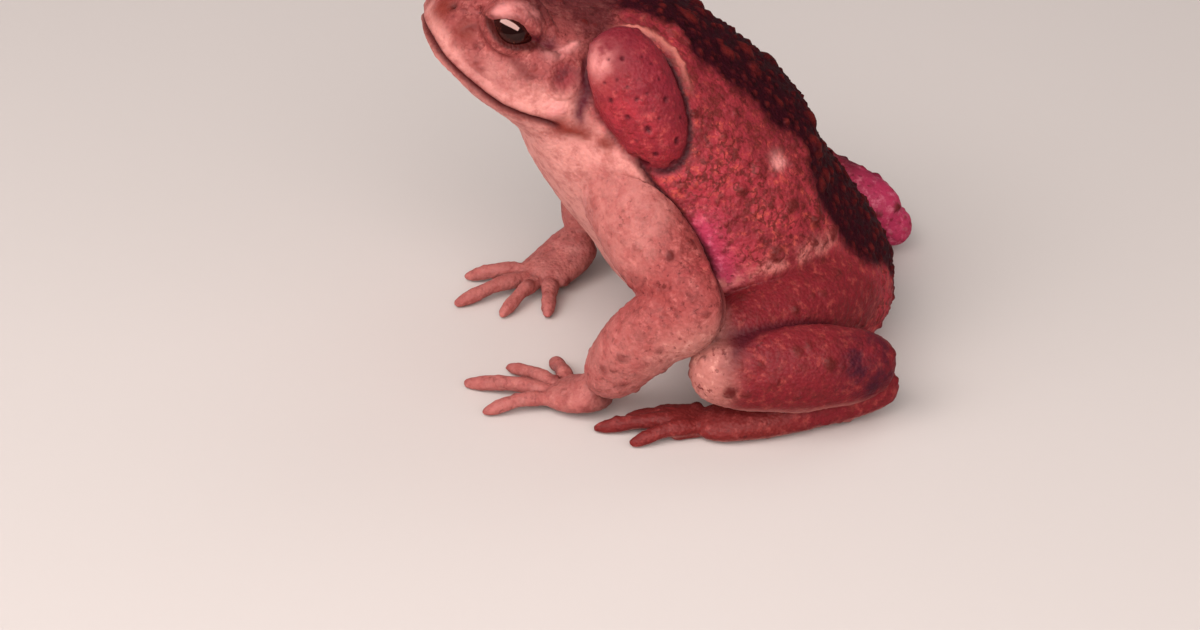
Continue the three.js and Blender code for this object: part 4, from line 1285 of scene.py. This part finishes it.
def toad_skin():
    """Live toad skin: thick, granular and slightly moist. It gives a soft, broken gleam on the tops of
    granules, dull furrows between them, darkened with painted shade, and a little red light through the thin
    parts."""
    material, tree = blank("moist_granular_toad_skin")
    place_in = node(tree, "ShaderNodeTexCoord").outputs["Object"]
    patterns = {}
    for name, (size, detail, roughness, start, full) in SKIN_PATTERNS.items():
        settings = {"[Scale]": 1 / (size * MM), "[Detail]": detail, "[Roughness]": roughness}
        spots = node(tree, "ShaderNodeTexNoise", settings, {"Vector": place_in}).outputs["Fac"]
        settings = {"interpolation_type": "SMOOTHSTEP", "[1]": start, "[2]": full}
        patterns[name] = node(tree, "ShaderNodeMapRange", settings, {"0": spots}).outputs[0]

    # The dark wavy lines run where a noise passes its middle value
    settings = {"[Scale]": 1 / (WAVES["size"] * MM), "[Detail]": 3}
    waves = node(tree, "ShaderNodeTexNoise", settings, {"Vector": place_in})
    off = node(tree, "ShaderNodeMath", {"operation": "SUBTRACT", "[1]": 0.5}, {"0": waves.outputs["Fac"]})
    off = node(tree, "ShaderNodeMath", {"operation": "ABSOLUTE"}, {"0": off.outputs[0]})
    settings = {"interpolation_type": "SMOOTHSTEP", "[1]": WAVES["from"], "[2]": WAVES["full"]}
    thin = node(tree, "ShaderNodeMapRange", settings, {"0": off.outputs[0]}).outputs[0]
    links = {"0": thin, "1": patterns["cloud"]}
    patterns["line"] = node(tree, "ShaderNodeMath", {"operation": "MULTIPLY"}, links).outputs[0]

    # Each layer is mixed over those before it, by its share at the point times its patterns
    colour = None
    for name, broken_by, first, *second in SKIN_LAYERS:
        share = node(tree, "ShaderNodeAttribute", {"attribute_name": name}).outputs["Fac"]
        for pattern in broken_by.split():
            links = {"0": share, "1": patterns[pattern]}
            share = node(tree, "ShaderNodeMath", {"operation": "MULTIPLY"}, links).outputs[0]
        settings = {"data_type": "RGBA", "[6]": linear(SKIN_BASE), "[7]": linear(first)}
        links = {"0": share, "6": colour} if colour else {"0": share}
        laid = node(tree, "ShaderNodeMix", settings, links)
        if second:
            pattern, other = second
            settings = {"data_type": "RGBA", "[6]": linear(first), "[7]": linear(other)}
            both = node(tree, "ShaderNodeMix", settings, {"0": patterns[pattern]})
            tree.links.new(both.outputs[2], laid.inputs[7])
        colour = laid.outputs[2]

    # The finest granules of real skin, some 0.3 mm apart, are drawn as bumps 0.85 mm apart with a noise of
    # 0.35 mm between them, which is as coarse as they need to be to show
    settings = {"[Scale]": 1 / (GRANULES["size"] * MM), "feature": "F1"}
    granules = node(tree, "ShaderNodeTexVoronoi", settings, {"Vector": place_in}).outputs["Distance"]
    settings = {"[Strength]": GRANULES["strength"], "[Distance]": GRANULES["height"] * MM, "invert": True}
    grain = node(tree, "ShaderNodeBump", settings, {"Height": granules}).outputs[0]
    settings = {"[Scale]": 1 / (DUST["size"] * MM), "[Detail]": 3}
    dust = node(tree, "ShaderNodeTexNoise", settings, {"Vector": place_in}).outputs["Fac"]
    settings = {"[Strength]": DUST["strength"], "[Distance]": DUST["height"] * MM}
    fine = node(tree, "ShaderNodeBump", settings, {"Height": dust, "Normal": grain}).outputs[0]
    settings = {"[Scale]": 1 / (GLEAM["size"] * MM), "[Detail]": 3}
    wet = node(tree, "ShaderNodeTexNoise", settings, {"Vector": place_in}).outputs["Fac"]
    settings = {"[3]": GLEAM["least"], "[4]": GLEAM["most"]}
    gleam = node(tree, "ShaderNodeMapRange", settings, {"0": wet}).outputs[0]
    back = node(tree, "ShaderNodeAttribute", {"attribute_name": "back"}).outputs["Fac"]
    settings = {"[3]": SPECULAR["plain"], "[4]": SPECULAR["back"]}
    moist = node(tree, "ShaderNodeMapRange", settings, {"0": back}).outputs[0]
    # An IOR of 1.4 and red light that goes furthest in are typical of skin
    shader = node(tree, "ShaderNodeBsdfPrincipled", {
        "[Subsurface Weight]": 0.12, "[Subsurface Radius]": (1.0, 0.35, 0.2), "[Subsurface Scale]": 1.2 * MM,
        "[IOR]": 1.4,
    }, {"Base Color": colour, "Roughness": gleam, "Specular IOR Level": moist, "Normal": fine})
    node(tree, "ShaderNodeOutputMaterial", links={"Surface": shader.outputs[0]})
    return material


IRIS, IRIS_FLECKS = "#240605", "#4a200f"
EYE_LAYERS = (("pupil", "#120202"), ("edge", "#1c0404"))
EYE_FLECKS = {"size": 0.45, "from": 0.58, "full": 0.74}


def wet_eye():
    """A live eyeball under a film of tears: nearly black, with a sharp pale gleam, and dull gold flecks in
    the dark brown iris. Its IOR is that of a glass eye, and its specular level is matched."""
    material, tree = blank("wet_toad_eye")
    place_in = node(tree, "ShaderNodeTexCoord").outputs["Object"]
    settings = {"[Scale]": 1 / (EYE_FLECKS["size"] * MM), "[Detail]": 3}
    spots = node(tree, "ShaderNodeTexNoise", settings, {"Vector": place_in}).outputs["Fac"]
    settings = {"interpolation_type": "SMOOTHSTEP", "[1]": EYE_FLECKS["from"], "[2]": EYE_FLECKS["full"]}
    fleck = node(tree, "ShaderNodeMapRange", settings, {"0": spots}).outputs[0]
    settings = {"data_type": "RGBA", "[6]": linear(IRIS), "[7]": linear(IRIS_FLECKS)}
    colour = node(tree, "ShaderNodeMix", settings, {"0": fleck}).outputs[2]
    for name, laid in EYE_LAYERS:
        share = node(tree, "ShaderNodeAttribute", {"attribute_name": name}).outputs["Fac"]
        settings = {"data_type": "RGBA", "[7]": linear(laid)}
        colour = node(tree, "ShaderNodeMix", settings, {"0": share, "6": colour}).outputs[2]
    shader = node(tree, "ShaderNodeBsdfPrincipled", {
        "[Roughness]": 0.05, "[IOR]": 1.5, "[Specular IOR Level]": 0.28, "[Specular Tint]": linear("#ffd2ca"),
    }, {"Base Color": colour})
    node(tree, "ShaderNodeOutputMaterial", links={"Surface": shader.outputs[0]})
    return material


def pale_paint():
    """Matt pale studio paint, rolled on: a plain floor without a gleam. Its grey is a little warm, and the
    lamps bring it up to a pale floor."""
    material, tree = blank("matt_studio_paint")
    shader = node(tree, "ShaderNodeBsdfPrincipled", {"[Base Color]": linear("#bcb8b4"), "[Roughness]": 0.85})
    node(tree, "ShaderNodeOutputMaterial", links={"Surface": shader.outputs[0]})
    return material


CORNEA_BULGE = 0.35
PUPIL = {"long": 0.5, "tall": 0.3}  # half sizes, over the eyeball's radius


def eyeball(side):
    """A ball whose clear front is drawn out by a soft step, up to CORNEA_BULGE, and shares for its pupil,
    an oval lying level, and for its dark edge, where its surface turns away. The iris is between them."""
    centre, out = eye_centre(side), eye_out(side)
    points, triangles = ball(centre, [EYE["radius"]] * 3, out, HEAD_UP, rings=64, sides=96)
    right, above = axes_for(out, HEAD_UP)
    way = (points - centre) / EYE["radius"]
    front = way @ out
    points = points + out * (CORNEA_BULGE * step(0.6, 1, front))[:, None]
    mesh = mesh_of("eye", points, triangles)
    oval = np.hypot(way @ right / PUPIL["long"], way @ above / PUPIL["tall"])
    pupil = np.where(front > 0, 1 - step(0.9, 1.05, oval), 0)
    store_shares(mesh, {"pupil": pupil, "edge": 1 - step(0.62, 0.72, front)})
    return mesh


# The pieces

skin = skin_mesh()
place(skin)
paired = ("eardrum", "parotoid", "upper_arm", "forearm", "hand", "thigh", "shank", "foot")
flesh_nodes = [f"{kind}_{name}" for kind in paired for name in ("left", "right")]
show("toad_skin", skin, toad_skin(), "skin", "head", "lower_jaw", "torso", *flesh_nodes)
eye_material = wet_eye()
for side, name in ((1, "left"), (-1, "right")):
    ball_mesh = eyeball(side)
    place(ball_mesh)
    show(f"toad_eye_{name}", ball_mesh, eye_material, "eye", f"eye_{name}")

# Floor, light and camera

FLOOR_SIZE = 6.0  # metres
bpy.ops.mesh.primitive_plane_add(size=FLOOR_SIZE, location=(0, 0, 0))
floor = bpy.context.object
floor.name = "studio_floor"
floor.data.materials.append(pale_paint())

world = bpy.data.worlds.new("studio")
world.use_nodes = True
world.node_tree.nodes["Background"].inputs["Color"].default_value = linear("#e9e6e4")
world.node_tree.nodes["Background"].inputs["Strength"].default_value = 0.4
bpy.context.scene.world = world
bpy.context.scene.view_settings.view_transform = "Standard"  # keeps the reds deep

# The view: degrees round from the front and up, metres from its target, picture points to the metre there,
# and where in the picture the toad frame's origin lies
CAMERA = {"azimuth": 80.0, "elevation": 30.0, "distance": 0.8, "scale": 4500.0, "origin_px": (660, 330)}
PICTURE = (1200, 630)
SENSOR_WIDTH = 36.0  # millimetres
LAMPS_LOOK_AT = (0, 0, 0.04)


def directions(azimuth, elevation):
    """Unit directions of a view: back towards the viewer, to the right, and up in the picture, from the
    sines and cosines of its two angles."""
    a, e = math.radians(azimuth), math.radians(elevation)
    back = np.array([math.sin(a) * math.cos(e), -math.cos(a) * math.cos(e), math.sin(e)])
    right = np.array([math.cos(a), math.sin(a), 0])
    return back, right, np.cross(back, right)


def aim(thing, position, back, up):
    """Turns a camera or light to look against back from a position, with up at its top."""
    right = np.cross(up, back)
    turn = Matrix(np.column_stack([right, up, back]).tolist()).to_4x4()
    thing.matrix_world = Matrix.Translation(Vector(position)) @ turn


def lamp(name, azimuth, elevation, distance, size, power, colour, roll=0, gleams=False):
    """A soft light, wide and tall, that looks at the toad's middle from a direction, rolled by an angle.
    It either lights the surfaces or, as the long gleam light, only shows in them where they are wet."""
    data = bpy.data.lights.new(name, "AREA")
    data.shape = "RECTANGLE"
    data.size, data.size_y = size
    data.energy = power
    data.color = linear(colour)[:3]
    light = bpy.data.objects.new(name, data)
    light.visible_diffuse = not gleams
    light.visible_glossy = gleams
    bpy.context.scene.collection.objects.link(light)
    back, right, up = directions(azimuth, elevation)
    a = math.radians(roll)
    aim(light, LAMPS_LOOK_AT + back * distance, back, up * math.cos(a) + right * math.sin(a))


back, right, up = directions(CAMERA["azimuth"], CAMERA["elevation"])
origin_x, origin_y = CAMERA["origin_px"]
target = SHIFT * MM
target = target + right * (PICTURE[0] / 2 - origin_x) / CAMERA["scale"]
target = target + up * (origin_y - PICTURE[1] / 2) / CAMERA["scale"]
camera_data = bpy.data.cameras.new("camera")
camera_data.sensor_width = SENSOR_WIDTH
camera_data.lens = SENSOR_WIDTH * CAMERA["distance"] * CAMERA["scale"] / PICTURE[0]
camera = bpy.data.objects.new("camera", camera_data)
bpy.context.scene.collection.objects.link(camera)
aim(camera, target + back * CAMERA["distance"], back, up)
bpy.context.scene.camera = camera

# Name, azimuth, elevation, distance, width and height, power, colour and roll. The gleam hangs nearer than
# the key, which would hide it otherwise.
lamp("key", 62, 44, 0.95, (1.3, 0.6), 13.5, "#fff2ee", 20)
lamp("gleam", 62, 44, 0.9, (2.1, 0.4), 85, "#fff2ee", 20, gleams=True)
lamp("front_fill", 22, 22, 1.2, (0.9, 0.9), 5.2, "#fff0f4")
lamp("side_fill", 130, 20, 1.2, (0.9, 0.9), 3.2, "#fff0f4")
lamp("rim", 215, 45, 1.2, (0.7, 0.7), 2, "#fff0f0")
